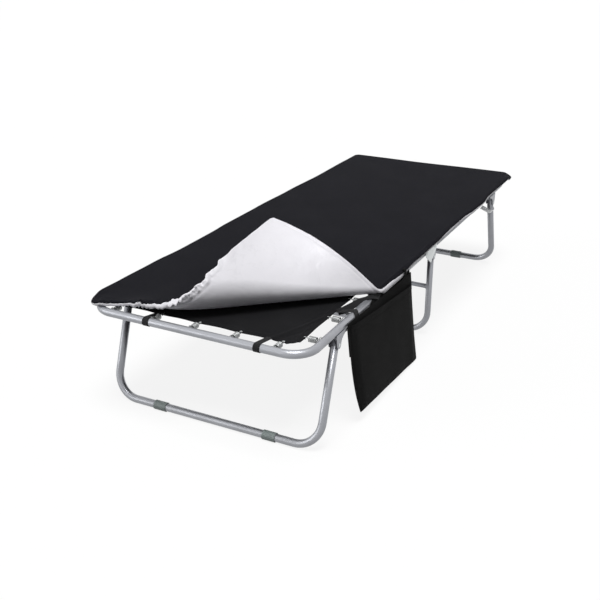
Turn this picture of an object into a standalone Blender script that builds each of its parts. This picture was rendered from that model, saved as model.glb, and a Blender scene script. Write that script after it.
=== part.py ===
"""Folding camp bed: two hinged half frames of bent steel tube, three U-shaped legs,
a sprung bed cloth, a thin sleeping pad with one corner turned back, and a side pocket.

X runs across the bed, Y runs from the near end (-) to the far end (+), Z is up and the
floor is at Z = 0. The origin is on the floor under the middle of the bed. Metres.
"""

import math

import bmesh
import bpy
from mathutils import Matrix, Vector

# Driving dimensions of the frame
AXIS_LENGTH = 1.880
AXIS_WIDTH = 0.725
FRAME_Z = 0.350
FRAME_TUBE_RADIUS = 0.0125
FRAME_CORNER_RADIUS = 0.072
TUBE_WALL = 0.0012
TUBE_SIDES = 10
CORNER_STEPS = 5

# Driving dimensions of the legs
END_LEG_RADIUS = 0.0125
END_LEG_CORNER = 0.080
END_LEG_PIN_Y = 0.7533
END_LEG_FOOT_Y = 0.8544
CENTRE_LEG_RADIUS = 0.011
CENTRE_LEG_CORNER = 0.080
CENTRE_LEG_PIN_Y = 0.042
LEG_PIN_DROP = 0.038
LEG_ABOVE_PIN = 0.013
CROSSBAR_RADIUS = 0.008
CROSSBAR_DROP = 0.157

# Sleeves that keep the legs from slipping on the floor
SLEEVE_X = 0.195
SLEEVE_LENGTH = 0.044
SLEEVE_WALL = 0.0022
SLEEVE_FLAT = 0.0015

# Hinge in the middle of each side
LINK_PIN_Y = 0.0385
LINK_PLATE_THICKNESS = 0.0025
LINK_PLATE_OFFSET = 0.0138
LINK_PLATE_ROUND = 0.0145
LINK_PLATE_APEX_DROP = 0.037
LINK_PLATE_APEX_ROUND = 0.009
TUBE_END_Y = 0.006
PLUG_HEAD = 0.002
PLUG_STEM = 0.014
PIN_RADIUS = 0.003
PIN_HEAD_RADIUS = 0.006
PIN_HEAD = 0.0018
PIN_HOLE_CUT = 0.040

# Leg brackets: two ears beside the tube, joined by a web under it
EAR_THICKNESS = 0.0022
EAR_REACH = 0.060
EAR_ROUND = 0.0125
EAR_BEHIND = 0.0165
EAR_TOP_DROP = 0.004
EAR_SHOULDER = 0.008
WEB_SHORTER = 0.006
WEB_BEHIND = 0.014
WEB_BITE = 0.6
CENTRE_EAR_HALF = 0.010
CENTRE_EAR_CORNER = 0.004
CENTRE_EAR_ROUND = 0.0115
CENTRE_WEB_HALF = 0.013

# Bed cloth and what holds it
CLOTH_HALF_WIDTH = 0.307
CLOTH_END_Y = 0.882
CLOTH_THICKNESS = 0.003
CLOTH_CHAMFER_X = 0.037
CLOTH_CHAMFER_Y = 0.030
HINGE_STRIP_Y = 0.040
SPRING_RADIUS = 0.0052
SPRING_WIRE = 0.0012
SPRING_BARREL = 0.026
SPRING_NECK = 0.002
SPRING_SIDES = 6
HEM_WIRE = 0.0021
HEM_WIRE_DROP = 0.0004
HEM_WIRE_OVERHANG = 0.008
HEM_WIRE_CORNER = 0.012
END_SPRING_X = (-0.290, -0.146, -0.0145, 0.123, 0.261)
SIDE_SPRING_FIRST = 0.826
SIDE_SPRING_PITCH = 0.152
SIDE_SPRING_COUNT = 6
STRAP_WIDTH = 0.017
STRAP_THICKNESS = 0.0011
STRAP_TAIL_RISE = 0.001
STRAP_SWEEP = 300
STRAP_STEPS = 12
END_STRAP_X = (-0.163, 0.212)
POCKET_STRAP_Y = (-0.610, -0.262)
POCKET_STRAP_DROP = 0.030
POCKET_STRAP_STEPS = 6

# Sleeping pad
PAD_HALF_WIDTH = 0.390
PAD_HALF_LENGTH = 0.955
PAD_THICKNESS = 0.014
PAD_CORNER = 0.055
PAD_LIFT = 0.0145
PAD_STRIP_Y = 0.0545
FOLD_START = Vector((-0.280, -PAD_HALF_LENGTH))
FOLD_END = Vector((PAD_HALF_WIDTH, -0.410))
ROLL_RADIUS = 0.045
ROLL_ANGLE = math.radians(158)
FLAP_REACH = 0.95
ROLL_ROWS = 8
FLAT_ROWS = 2

# Side pocket, corner by corner as (y, height above the frame axis)
POCKET_CORNERS = ((-0.700, -0.002), (-0.200, -0.006), (-0.168, -0.322), (-0.640, -0.318))
POCKET_INNER_X = 0.3787
POCKET_DEPTH = 0.0108
POCKET_WALL = 0.0012
POCKET_SIDE_WALL = 0.006
POCKET_CUT_RISE = 0.020

# Grey strap that ties the folded bed
TIE_DROP = 0.058
TIE_TAIL = 0.034
TIE_WIDTH = 0.012
TIE_THICKNESS = 0.0012
TIE_TAIL_SHARE = 0.7

# Worked out from the values above; GAP parts two pieces that touch
GAP = 0.0003
TOP_Z = FRAME_Z + PAD_LIFT
SIDE_X = AXIS_WIDTH / 2
END_Y = AXIS_LENGTH / 2
PIN_Z = FRAME_Z - LEG_PIN_DROP
FOOT_Z = END_LEG_RADIUS + SLEEVE_FLAT
CENTRE_FOOT_Z = CENTRE_LEG_RADIUS + SLEEVE_FLAT
END_EAR_INNER = END_LEG_RADIUS + GAP
CENTRE_EAR_INNER = CENTRE_LEG_RADIUS + GAP
WEB_TOP = FRAME_Z - FRAME_TUBE_RADIUS - GAP
HEM_X = CLOTH_HALF_WIDTH + GAP + HEM_WIRE
HEM_Y = CLOTH_END_Y + GAP + HEM_WIRE
HEM_Z = FRAME_Z - HEM_WIRE_DROP
TUBE_INNER_X = SIDE_X - FRAME_TUBE_RADIUS - GAP
TUBE_INNER_Y = END_Y - FRAME_TUBE_RADIUS - GAP
STRAP_RADIUS = FRAME_TUBE_RADIUS + GAP + STRAP_THICKNESS / 2

# Turns from a flat outline to its plane: local Z becomes the thickness direction
ACROSS = Matrix(((0, 0, 1), (1, 0, 0), (0, 1, 0))).to_euler()
ALONG = Matrix(((1, 0, 0), (0, 0, -1), (0, 1, 0))).to_euler()
LEVEL = Matrix.Identity(3).to_euler()

# Turns from a turned piece's own axis, which is Z, to the axes of the bed
ALONG_X = (0, math.pi / 2, 0)
ALONG_Y = (math.pi / 2, 0, 0)

FINISHES = {
    "steel_grey": ((0.42, 0.43, 0.45), 0.38, 0.6),
    "zinc": ((0.62, 0.66, 0.66), 0.35, 0.9),
    "sleeve_plastic": ((0.20, 0.23, 0.225), 0.6, 0.0),
    "plug_plastic": ((0.03, 0.03, 0.03), 0.55, 0.0),
    "bed_cloth": ((0.012, 0.012, 0.014), 0.85, 0.0),
    "pad_top": ((0.015, 0.015, 0.018), 0.85, 0.0),
    "pad_lining": ((0.74, 0.74, 0.77), 0.5, 0.0),
    "black_webbing": ((0.01, 0.01, 0.011), 0.8, 0.0),
    "grey_webbing": ((0.50, 0.50, 0.51), 0.8, 0.0),
    "pocket_cloth": ((0.010, 0.010, 0.010), 0.9, 0.0),
}

for old in list(bpy.data.objects):
    bpy.data.objects.remove(old, do_unlink=True)

bed = bpy.data.collections.new("camp_bed")
bpy.context.scene.collection.children.link(bed)
guides = bpy.data.collections.new("cutters")
bpy.context.scene.collection.children.link(guides)


def finish_material(name):
    """The material of one finish, made once."""
    material = bpy.data.materials.get(name)
    if material is None:
        colour, roughness, metallic = FINISHES[name]
        material = bpy.data.materials.new(name)
        material.use_nodes = True
        shader = material.node_tree.nodes["Principled BSDF"]
        shader.inputs["Base Color"].default_value = (*colour, 1.0)
        shader.inputs["Roughness"].default_value = roughness
        shader.inputs["Metallic"].default_value = metallic
    return material


def pivot(name, y, z, parent=None):
    """An empty on a joint's axis, which runs along X."""
    empty = bpy.data.objects.new(name, None)
    empty.empty_display_size = 0.05
    bed.objects.link(empty)
    empty.location = (0, y, z)
    if parent is not None:
        bpy.context.view_layer.update()
        empty.parent = parent
        empty.matrix_parent_inverse = parent.matrix_world.inverted()
    return empty


def add_part(name, mesh, finish, carrier, location=(0, 0, 0), turn=LEVEL):
    """A named piece in the bed's collection, carried by an empty."""
    part = bpy.data.objects.new(name, mesh)
    bed.objects.link(part)
    part.location = location
    part.rotation_euler = turn
    mesh.materials.clear()
    mesh.materials.append(finish_material(finish))
    bpy.context.view_layer.update()
    if carrier is not None:
        part.parent = carrier
        part.matrix_parent_inverse = carrier.matrix_world.inverted()
    return part


def as_guide(tool):
    """Marks an object as a cutter that is left out of the bed."""
    for collection in list(tool.users_collection):
        collection.objects.unlink(tool)
    guides.objects.link(tool)
    tool.hide_render = True
    tool.display_type = "WIRE"


def combine(part, tool, operation):
    """Cuts a tool out of a part, or joins it on, with a live Boolean."""
    as_guide(tool)
    modifier = part.modifiers.new(operation.lower(), "BOOLEAN")
    modifier.operation = operation
    modifier.object = tool


def shade(mesh):
    """Smooth shading with sharp edges kept."""
    mesh.shade_smooth()
    mesh.set_sharp_from_angle(angle=math.radians(40))


def curve_to_mesh(curve, name):
    """The welded mesh of a curve, which is then removed."""
    holder = bpy.data.objects.new(name, curve)
    bed.objects.link(holder)
    bpy.context.view_layer.update()
    depsgraph = bpy.context.evaluated_depsgraph_get()
    mesh = bpy.data.meshes.new_from_object(holder.evaluated_get(depsgraph))
    bpy.data.objects.remove(holder, do_unlink=True)
    work = bmesh.new()
    work.from_mesh(mesh)
    bmesh.ops.remove_doubles(work, verts=work.verts, dist=1e-6)
    bmesh.ops.recalc_face_normals(work, faces=work.faces)
    work.to_mesh(mesh)
    work.free()
    mesh.name = name
    return mesh


def arc(centre, radius, start, end, steps):
    """Points of an arc, angles in degrees."""
    points = []
    for step in range(steps + 1):
        angle = math.radians(start + (end - start) * step / steps)
        points.append((centre[0] + radius * math.cos(angle), centre[1] + radius * math.sin(angle)))
    return points


def spline_of(curve, points, cyclic):
    """Adds a straight-sided spline to a curve."""
    spline = curve.splines.new("POLY")
    spline.points.add(len(points) - 1)
    for target, point in zip(spline.points, points):
        target.co = (*point, 1.0) if len(point) == 3 else (point[0], point[1], 0.0, 1.0)
    spline.use_cyclic_u = cyclic


def outline_mesh(name, outline, thickness, holes=()):
    """A flat outline with a thickness and optional holes."""
    curve = bpy.data.curves.new(name, "CURVE")
    curve.dimensions = "2D"
    curve.fill_mode = "BOTH"
    curve.extrude = thickness / 2
    spline_of(curve, outline, True)
    for hole in holes:
        spline_of(curve, hole, True)
    return curve_to_mesh(curve, name)


def tube_mesh(name, path, radius):
    """An open tube skin along a path; Solidify gives it its wall."""
    curve = bpy.data.curves.new(name, "CURVE")
    curve.dimensions = "3D"
    curve.bevel_depth = radius
    curve.bevel_resolution = (TUBE_SIDES - 4) // 2
    curve.use_fill_caps = False
    spline_of(curve, path, False)
    mesh = curve_to_mesh(curve, name)
    shade(mesh)
    return mesh


def hollow(part):
    """Gives a tube skin its wall, inwards."""
    wall = part.modifiers.new("wall", "SOLIDIFY")
    wall.thickness = TUBE_WALL
    wall.offset = -1.0


def turned(name, profile, sides, finish, carrier, location, turn):
    """A turned piece: its (radius, height) profile runs from top to bottom."""
    mesh = bpy.data.meshes.new(name)
    points = [(radius, 0.0, height) for radius, height in profile]
    mesh.from_pydata(points, [(i, i + 1) for i in range(len(points) - 1)], [])
    part = add_part(name, mesh, finish, carrier, location, turn)
    screw = part.modifiers.new("turn", "SCREW")
    screw.steps = sides
    screw.render_steps = sides
    screw.use_merge_vertices = True
    screw.merge_threshold = 0.00001
    return part


def drill(part, location):
    """Bores a pin's hole along X through a part."""
    bpy.ops.mesh.primitive_cylinder_add(vertices=10, radius=PIN_RADIUS + GAP, depth=PIN_HOLE_CUT,
                                        location=location, rotation=ALONG_X)
    tool = bpy.context.active_object
    tool.name = part.name + "_drill"
    combine(part, tool, "DIFFERENCE")


def box(name, low, high):
    """A box between two corners, with its origin in the middle."""
    middle = [(a + b) / 2 for a, b in zip(low, high)]
    bpy.ops.mesh.primitive_cube_add(size=1.0, location=middle)
    cube = bpy.context.active_object
    cube.name = name
    for vertex in cube.data.vertices:
        vertex.co = [c * (b - a) for c, a, b in zip(vertex.co, low, high)]
    return cube


def slab(name, low, high, finish, carrier):
    """A box-shaped piece between two corners."""
    cube = box(name + "_cube", low, high)
    add_part(name, cube.data.copy(), finish, carrier, cube.location.copy())
    bpy.data.objects.remove(cube, do_unlink=True)


def convex_outline(circles, steps=6):
    """The tight outline round several circles given as (u, v, radius)."""
    points = set()
    for u, v, radius in circles:
        for point in arc((u, v), radius, 0, 360 - 360 / (4 * steps), 4 * steps - 1):
            points.add((round(point[0], 7), round(point[1], 7)))
    ordered = sorted(points)

    def chain(sequence):
        """One side of the hull."""
        hull = []
        for point in sequence:
            while len(hull) > 1:
                (ax, ay), (bx, by) = hull[-2], hull[-1]
                if (bx - ax) * (point[1] - ay) - (by - ay) * (point[0] - ax) > 1e-12:
                    break
                hull.pop()
            hull.append(point)
        return hull

    lower = chain(ordered)
    upper = chain(reversed(ordered))
    return lower[:-1] + upper[:-1]


def bezier(a, b, c, steps):
    """Points of a quadratic curve from a to c, with b as its handle."""
    points = []
    for step in range(steps + 1):
        t = step / steps
        points.append(tuple((1 - t) ** 2 * p + 2 * t * (1 - t) * q + t * t * r
                            for p, q, r in zip(a, b, c)))
    return points


def ribbon_outline(path, thickness):
    """The outline of a strip of even thickness that follows a flat path."""
    left, right = [], []
    for i, point in enumerate(path):
        before = Vector(path[max(i - 1, 0)])
        after = Vector(path[min(i + 1, len(path) - 1)])
        along = (after - before).normalized()
        side = Vector((-along.y, along.x)) * thickness / 2
        left.append(tuple(Vector(point) + side))
        right.append(tuple(Vector(point) - side))
    return left + right[::-1]


def tangent_angle(target, radius, side):
    """Angle, in degrees, where a line from a point touches a circle round the origin."""
    distance = math.hypot(*target)
    bearing = math.degrees(math.atan2(target[1], target[0]))
    return bearing + side * math.degrees(math.acos(radius / distance))


# The tree of joint axes, all along X
far_half = pivot("far_half_origin", 0, 0)
hinge = pivot("hinge_axis", LINK_PIN_Y, FRAME_Z, far_half)
near_half = pivot("near_half_axis", -LINK_PIN_Y, FRAME_Z, hinge)
near_leg_axis = pivot("near_leg_axis", -END_LEG_PIN_Y, PIN_Z, near_half)
far_leg_axis = pivot("far_leg_axis", END_LEG_PIN_Y, PIN_Z, far_half)
centre_leg_axis = pivot("centre_leg_axis", CENTRE_LEG_PIN_Y, PIN_Z, far_half)


def half_frame(name, end, carrier):
    """One half of the frame: a U of tube with its open ends at the hinge."""
    corner = FRAME_CORNER_RADIUS
    left = [(-x, y * end, FRAME_Z) for x, y in
            arc((SIDE_X - corner, END_Y - corner), corner, 0, 90, CORNER_STEPS)]
    right = [(-x, y, z) for x, y, z in reversed(left)]
    path = [(-SIDE_X, TUBE_END_Y * end, FRAME_Z), *left, *right, (SIDE_X, TUBE_END_Y * end, FRAME_Z)]
    frame = add_part(name, tube_mesh(name, path, FRAME_TUBE_RADIUS), "steel_grey", carrier)
    hollow(frame)
    for side in (-1, 1):
        drill(frame, (side * SIDE_X, LINK_PIN_Y * end, FRAME_Z))


def leg_tube(name, radius, corner, length, carrier, pin_y, lean):
    """A U-shaped leg, hung from its pin and leaning by an angle about X."""
    arc_points = arc((SIDE_X - corner, -length + corner), corner, 0, -90, CORNER_STEPS)
    left = [(-x, 0.0, z) for x, z in arc_points]
    right = [(-x, y, z) for x, y, z in reversed(left)]
    path = [(-SIDE_X, 0.0, LEG_ABOVE_PIN), *left, *right, (SIDE_X, 0.0, LEG_ABOVE_PIN)]
    leg = add_part(name, tube_mesh(name, path, radius), "steel_grey", carrier,
                   (0, pin_y, PIN_Z), (lean, 0, 0))
    hollow(leg)
    for side in (-1, 1):
        drill(leg, (side * SIDE_X, pin_y, PIN_Z))


def sleeve(name, radius, x, y, foot_z, carrier):
    """A plastic sleeve round a leg's bottom bar, with a flat where it stands."""
    outer = radius + GAP + SLEEVE_WALL
    flat_angle = math.degrees(math.asin(foot_z / outer))
    outline = arc((0, 0), outer, -flat_angle, 180 + flat_angle, 12)
    bore = arc((0, 0), (radius + GAP) / math.cos(math.radians(15)), 0, 330, 11)
    mesh = outline_mesh(name, outline, SLEEVE_LENGTH, [bore])
    shade(mesh)
    add_part(name, mesh, "sleeve_plastic", carrier, (x, y, foot_z), ACROSS)


def rivet(name, x, y, z, grip, carrier):
    """A headed pin along X; grip is the length between its heads."""
    half = grip / 2
    profile = [(0, half + PIN_HEAD), (PIN_HEAD_RADIUS, half + PIN_HEAD), (PIN_HEAD_RADIUS, half),
               (PIN_RADIUS, half), (PIN_RADIUS, -half), (PIN_HEAD_RADIUS, -half),
               (PIN_HEAD_RADIUS, -half - PIN_HEAD), (0, -half - PIN_HEAD)]
    turned(name, profile, 8, "zinc", carrier, (x, y, z), ALONG_X)


def leg_bracket(name, x, pin_y, inner, top, ear, web_low, web_high, carrier):
    """A channel under the frame tube: two ears joined by a web, drilled for the leg's pin."""
    hole = arc((0, 0), PIN_RADIUS + GAP, 0, 315, 7)
    first = outline_mesh(name, ear, EAR_THICKNESS, [hole])
    centre = inner + EAR_THICKNESS / 2
    bracket = add_part(name, first, "steel_grey", carrier, (x + centre, pin_y, PIN_Z), ACROSS)
    other = add_part(name + "_ear", outline_mesh(name + "_ear", ear, EAR_THICKNESS, [hole]),
                     "steel_grey", None, (x - centre, pin_y, PIN_Z), ACROSS)
    reach = inner + EAR_THICKNESS * WEB_BITE
    web = box(name + "_web", (x - reach, pin_y + web_low, top - EAR_THICKNESS),
              (x + reach, pin_y + web_high, top))
    combine(bracket, web, "UNION")
    combine(bracket, other, "UNION")


def end_ear(direction):
    """Ear of an end leg's bracket: it spreads towards the middle of the bed as it rises."""
    top = LEG_PIN_DROP - EAR_TOP_DROP
    slope = bezier((EAR_REACH, top - EAR_SHOULDER / 2), (EAR_BEHIND, top - EAR_SHOULDER * 1.5),
                   (EAR_ROUND, 0.0), 5)
    bottom = arc((0, 0), EAR_ROUND, -25, -180, 6)
    points = [(-EAR_BEHIND, top), (EAR_REACH, top), *slope, *bottom]
    return [(u * direction, v) for u, v in points]


def spring_profile(length):
    """A coil spring's barrel with a wire hook at each end, from end to end."""
    half = length / 2
    coil = SPRING_BARREL / 2
    neck = coil + SPRING_NECK
    return [(0, half), (SPRING_WIRE, half), (SPRING_WIRE, neck), (SPRING_RADIUS, coil),
            (SPRING_RADIUS, -coil), (SPRING_WIRE, -neck), (SPRING_WIRE, -half), (0, -half)]


def spring_row(name, places, turn, hem_low, hem_high, carrier):
    """A row of springs joined to the wire in the cloth's hem."""
    centre = [(a + b) / 2 for a, b in zip(hem_low, hem_high)]
    length = (Vector(hem_high) - Vector(hem_low)).length
    hem_turn = ALONG_Y if turn is ALONG_X else ALONG_X
    row = turned(name, [(0, length / 2), (HEM_WIRE, length / 2), (HEM_WIRE, -length / 2),
                        (0, -length / 2)], SPRING_SIDES, "zinc", carrier, centre, hem_turn)
    for index, (place, reach) in enumerate(places):
        spring = turned(f"{name}_{index}", spring_profile(reach), SPRING_SIDES, "zinc", None,
                        place, turn)
        combine(row, spring, "UNION")


def side_springs(name, side, end, carrier):
    """The springs along one side of one half."""
    reach = TUBE_INNER_X - HEM_X
    middle = side * (TUBE_INNER_X + HEM_X) / 2
    places = []
    for index in range(SIDE_SPRING_COUNT):
        y = end * (SIDE_SPRING_FIRST - index * SIDE_SPRING_PITCH)
        places.append(((middle, y, FRAME_Z), reach))
    last = end * (SIDE_SPRING_FIRST - (SIDE_SPRING_COUNT - 1) * SIDE_SPRING_PITCH - HEM_WIRE_OVERHANG)
    first = end * (SIDE_SPRING_FIRST + HEM_WIRE_CORNER)
    spring_row(name, places, ALONG_X, (side * HEM_X, min(first, last), HEM_Z),
               (side * HEM_X, max(first, last), HEM_Z), carrier)


def cloth_outline(end):
    """One half of the bed cloth, its two outer corners cut off."""
    wide, long = CLOTH_HALF_WIDTH, CLOTH_END_Y
    corner = [(wide, HINGE_STRIP_Y + GAP), (wide, long - CLOTH_CHAMFER_Y), (wide - CLOTH_CHAMFER_X, long)]
    points = corner + [(-x, y) for x, y in reversed(corner)]
    return [(x, y * end) for x, y in points]


def wrap(target, radius, side, sweep, steps):
    """A strap's path: from a point beside a tube to where it touches, then round by an angle.

    The corners of the arc stand outside the radius, so that its straight sides clear the tube.
    """
    start = tangent_angle(target, radius, side)
    outside = radius / math.cos(math.radians(sweep / steps / 2))
    return [target, *arc((0, 0), outside, start, start + sweep, steps)]


# Half frames and their end plugs
half_frame("near_frame_tube", -1, near_half)
half_frame("far_frame_tube", 1, far_half)
for word, end, carrier in (("near", -1, near_half), ("far", 1, far_half)):
    for hand, side in (("left", -1), ("right", 1)):
        stem = FRAME_TUBE_RADIUS * math.cos(math.pi / TUBE_SIDES) - TUBE_WALL - GAP
        profile = [(0, PLUG_HEAD), (FRAME_TUBE_RADIUS, PLUG_HEAD), (FRAME_TUBE_RADIUS, GAP),
                   (stem, GAP), (stem, -PLUG_STEM), (0, -PLUG_STEM)]
        turned(f"{word}_tube_plug_{hand}", profile, 8, "plug_plastic", carrier,
               (side * SIDE_X, TUBE_END_Y * end, FRAME_Z), (end * math.pi / 2, 0, 0))

# End legs and the centre leg
end_lean = math.atan2(END_LEG_FOOT_Y - END_LEG_PIN_Y, PIN_Z - FOOT_Z)
end_length = math.hypot(END_LEG_FOOT_Y - END_LEG_PIN_Y, PIN_Z - FOOT_Z)
leg_tube("near_leg", END_LEG_RADIUS, END_LEG_CORNER, end_length, near_leg_axis, -END_LEG_PIN_Y, -end_lean)
leg_tube("far_leg", END_LEG_RADIUS, END_LEG_CORNER, end_length, far_leg_axis, END_LEG_PIN_Y, end_lean)
leg_tube("centre_leg", CENTRE_LEG_RADIUS, CENTRE_LEG_CORNER, PIN_Z - CENTRE_FOOT_Z, centre_leg_axis,
         CENTRE_LEG_PIN_Y, 0)
crossbar_half = SIDE_X - CENTRE_LEG_RADIUS - GAP
crossbar_path = [(-crossbar_half, 0.0, 0.0), (crossbar_half, 0.0, 0.0)]
hollow(add_part("centre_leg_crossbar", tube_mesh("centre_leg_crossbar", crossbar_path, CROSSBAR_RADIUS),
                "steel_grey", centre_leg_axis, (0, CENTRE_LEG_PIN_Y, FRAME_Z - CROSSBAR_DROP)))
for hand, side in (("left", -1), ("right", 1)):
    x = side * SLEEVE_X
    sleeve(f"near_leg_sleeve_{hand}", END_LEG_RADIUS, x, -END_LEG_FOOT_Y, FOOT_Z, near_leg_axis)
    sleeve(f"far_leg_sleeve_{hand}", END_LEG_RADIUS, x, END_LEG_FOOT_Y, FOOT_Z, far_leg_axis)
    sleeve(f"centre_leg_sleeve_{hand}", CENTRE_LEG_RADIUS, x, CENTRE_LEG_PIN_Y, CENTRE_FOOT_Z,
           centre_leg_axis)

# Leg brackets with their pins
centre_ear_top = WEB_TOP - PIN_Z - EAR_THICKNESS / 2 - CENTRE_EAR_CORNER * 0.75
centre_ear = convex_outline([(-CENTRE_EAR_HALF, centre_ear_top, CENTRE_EAR_CORNER),
                             (CENTRE_EAR_HALF, centre_ear_top, CENTRE_EAR_CORNER),
                             (0, 0, CENTRE_EAR_ROUND)], 3)
for hand, side in (("left", -1), ("right", 1)):
    x = side * SIDE_X
    for word, end, carrier in (("near", -1, near_half), ("far", 1, far_half)):
        web = sorted((-end * (EAR_REACH - WEB_SHORTER), end * WEB_BEHIND))
        leg_bracket(f"{word}_leg_bracket_{hand}", x, end * END_LEG_PIN_Y, END_EAR_INNER, WEB_TOP,
                    end_ear(-end), web[0], web[1], carrier)
        rivet(f"{word}_leg_pin_{hand}", x, end * END_LEG_PIN_Y, PIN_Z,
              2 * (END_EAR_INNER + EAR_THICKNESS + GAP), carrier)
    leg_bracket(f"centre_leg_bracket_{hand}", x, CENTRE_LEG_PIN_Y, CENTRE_EAR_INNER, WEB_TOP,
                centre_ear, -CENTRE_WEB_HALF, CENTRE_WEB_HALF, far_half)
    rivet(f"centre_leg_pin_{hand}", x, CENTRE_LEG_PIN_Y, PIN_Z,
          2 * (CENTRE_EAR_INNER + EAR_THICKNESS + GAP), far_half)

# Hinge plates on the outside of the tubes, with a pin into each half
for hand, side in (("left", -1), ("right", 1)):
    plate_x = side * (SIDE_X + LINK_PLATE_OFFSET + LINK_PLATE_THICKNESS / 2)
    outline = convex_outline([(-LINK_PIN_Y, 0, LINK_PLATE_ROUND), (LINK_PIN_Y, 0, LINK_PLATE_ROUND),
                              (0, -LINK_PLATE_APEX_DROP, LINK_PLATE_APEX_ROUND)], 4)
    holes = [arc((y, 0), PIN_RADIUS + GAP, 0, 315, 7) for y in (-LINK_PIN_Y, LINK_PIN_Y)]
    add_part(f"hinge_plate_{hand}", outline_mesh(f"hinge_plate_{hand}", outline, LINK_PLATE_THICKNESS, holes),
             "zinc", hinge, (plate_x, 0, FRAME_Z), ACROSS)
    inner = FRAME_TUBE_RADIUS + GAP
    outer = LINK_PLATE_OFFSET + LINK_PLATE_THICKNESS + GAP
    for word, end in (("near", -1), ("far", 1)):
        rivet(f"{word}_hinge_pin_{hand}", side * (SIDE_X + (outer - inner) / 2), end * LINK_PIN_Y, FRAME_Z,
              inner + outer, hinge)

# Bed cloth: two halves and the strip that bends over the hinge
for word, end, carrier in (("near", -1, near_half), ("far", 1, far_half)):
    add_part(f"{word}_bed_cloth", outline_mesh(f"{word}_bed_cloth", cloth_outline(end), CLOTH_THICKNESS),
             "bed_cloth", carrier, (0, 0, FRAME_Z))
slab("bed_cloth_hinge_strip", (-CLOTH_HALF_WIDTH, -HINGE_STRIP_Y, FRAME_Z - CLOTH_THICKNESS / 2),
     (CLOTH_HALF_WIDTH, HINGE_STRIP_Y, FRAME_Z + CLOTH_THICKNESS / 2), "bed_cloth", hinge)

# Springs between the cloth and the frame
end_reach = TUBE_INNER_Y - CLOTH_END_Y - GAP
for index, x in enumerate(END_SPRING_X):
    turned(f"near_end_spring_{index + 1}", spring_profile(end_reach), SPRING_SIDES, "zinc", near_half,
           (x, -(TUBE_INNER_Y + CLOTH_END_Y + GAP) / 2, FRAME_Z), ALONG_Y)
far_reach = TUBE_INNER_Y - HEM_Y
far_places = [((x, (TUBE_INNER_Y + HEM_Y) / 2, FRAME_Z), far_reach) for x in END_SPRING_X]
hem_half = CLOTH_HALF_WIDTH - CLOTH_CHAMFER_X
spring_row("far_end_springs", far_places, ALONG_Y, (END_SPRING_X[0] - HEM_WIRE_OVERHANG, HEM_Y, HEM_Z),
           (hem_half, HEM_Y, HEM_Z), far_half)
side_springs("near_left_springs", -1, -1, near_half)
side_springs("near_right_springs", 1, -1, near_half)
side_springs("far_left_springs", -1, 1, far_half)
side_springs("far_right_springs", 1, 1, far_half)

# Webbing straps from the cloth's ends round the end tubes
for word, end, carrier, tail in (("near", -1, near_half, END_Y - CLOTH_END_Y - GAP),
                                 ("far", 1, far_half, END_Y - HEM_Y - HEM_WIRE - GAP)):
    for hand, x in zip(("left", "right"), END_STRAP_X):
        path = wrap((tail, STRAP_TAIL_RISE), STRAP_RADIUS, 1, STRAP_SWEEP, STRAP_STEPS)
        outline = ribbon_outline([(-end * u, v) for u, v in path], STRAP_THICKNESS)
        mesh = outline_mesh(f"{word}_end_strap_{hand}", outline, STRAP_WIDTH)
        add_part(f"{word}_end_strap_{hand}", mesh, "black_webbing", carrier,
                 (x, end * END_Y, FRAME_Z), ACROSS)

# Pocket and the two straps that hang it over the side tube
strap_target = (POCKET_INNER_X - SIDE_X - GAP - STRAP_THICKNESS / 2, -POCKET_STRAP_DROP)
inner_target = (-(SIDE_X - HEM_X - HEM_WIRE - GAP), STRAP_TAIL_RISE)
outer_angle = tangent_angle(strap_target, STRAP_RADIUS, 1)
inner_angle = tangent_angle(inner_target, STRAP_RADIUS, -1) % 360
pocket_path = [*wrap(inner_target, STRAP_RADIUS, -1, outer_angle - inner_angle, POCKET_STRAP_STEPS),
               strap_target]
for hand, y in zip(("near", "far"), POCKET_STRAP_Y):
    name = f"pocket_strap_{hand}"
    mesh = outline_mesh(name, ribbon_outline(pocket_path, STRAP_THICKNESS), STRAP_WIDTH)
    add_part(name, mesh, "black_webbing", near_half, (SIDE_X, y, FRAME_Z), ALONG)
pocket_x = POCKET_INNER_X + POCKET_DEPTH / 2
pocket = add_part("side_pocket", outline_mesh("side_pocket", POCKET_CORNERS, POCKET_DEPTH), "pocket_cloth",
                  near_half, (pocket_x, 0, FRAME_Z), ACROSS)
(top_near, top_far, low_far, low_near) = [Vector(corner) for corner in POCKET_CORNERS]
wall = POCKET_SIDE_WALL
inside = [top_near + Vector((wall, POCKET_CUT_RISE)), top_far + Vector((-wall, POCKET_CUT_RISE)),
          low_far + Vector((-wall, wall)), low_near + Vector((wall, wall))]
cavity = add_part("pocket_cavity", outline_mesh("pocket_cavity", [tuple(p) for p in inside],
                                                POCKET_DEPTH - 2 * POCKET_WALL),
                  "pocket_cloth", None, (pocket_x, 0, FRAME_Z), ACROSS)
combine(pocket, cavity, "DIFFERENCE")

# Sleeping pad: two halves, the strip over the hinge and the corner that is turned back


def rounded_corner(x, y, x_side, y_side):
    """Points round one outer corner of the pad, from its side to its end."""
    centre = (x - PAD_CORNER, y - PAD_CORNER)
    return [(px * x_side, py * y_side) for px, py in arc(centre, PAD_CORNER, 0, 90, 4)]


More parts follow.
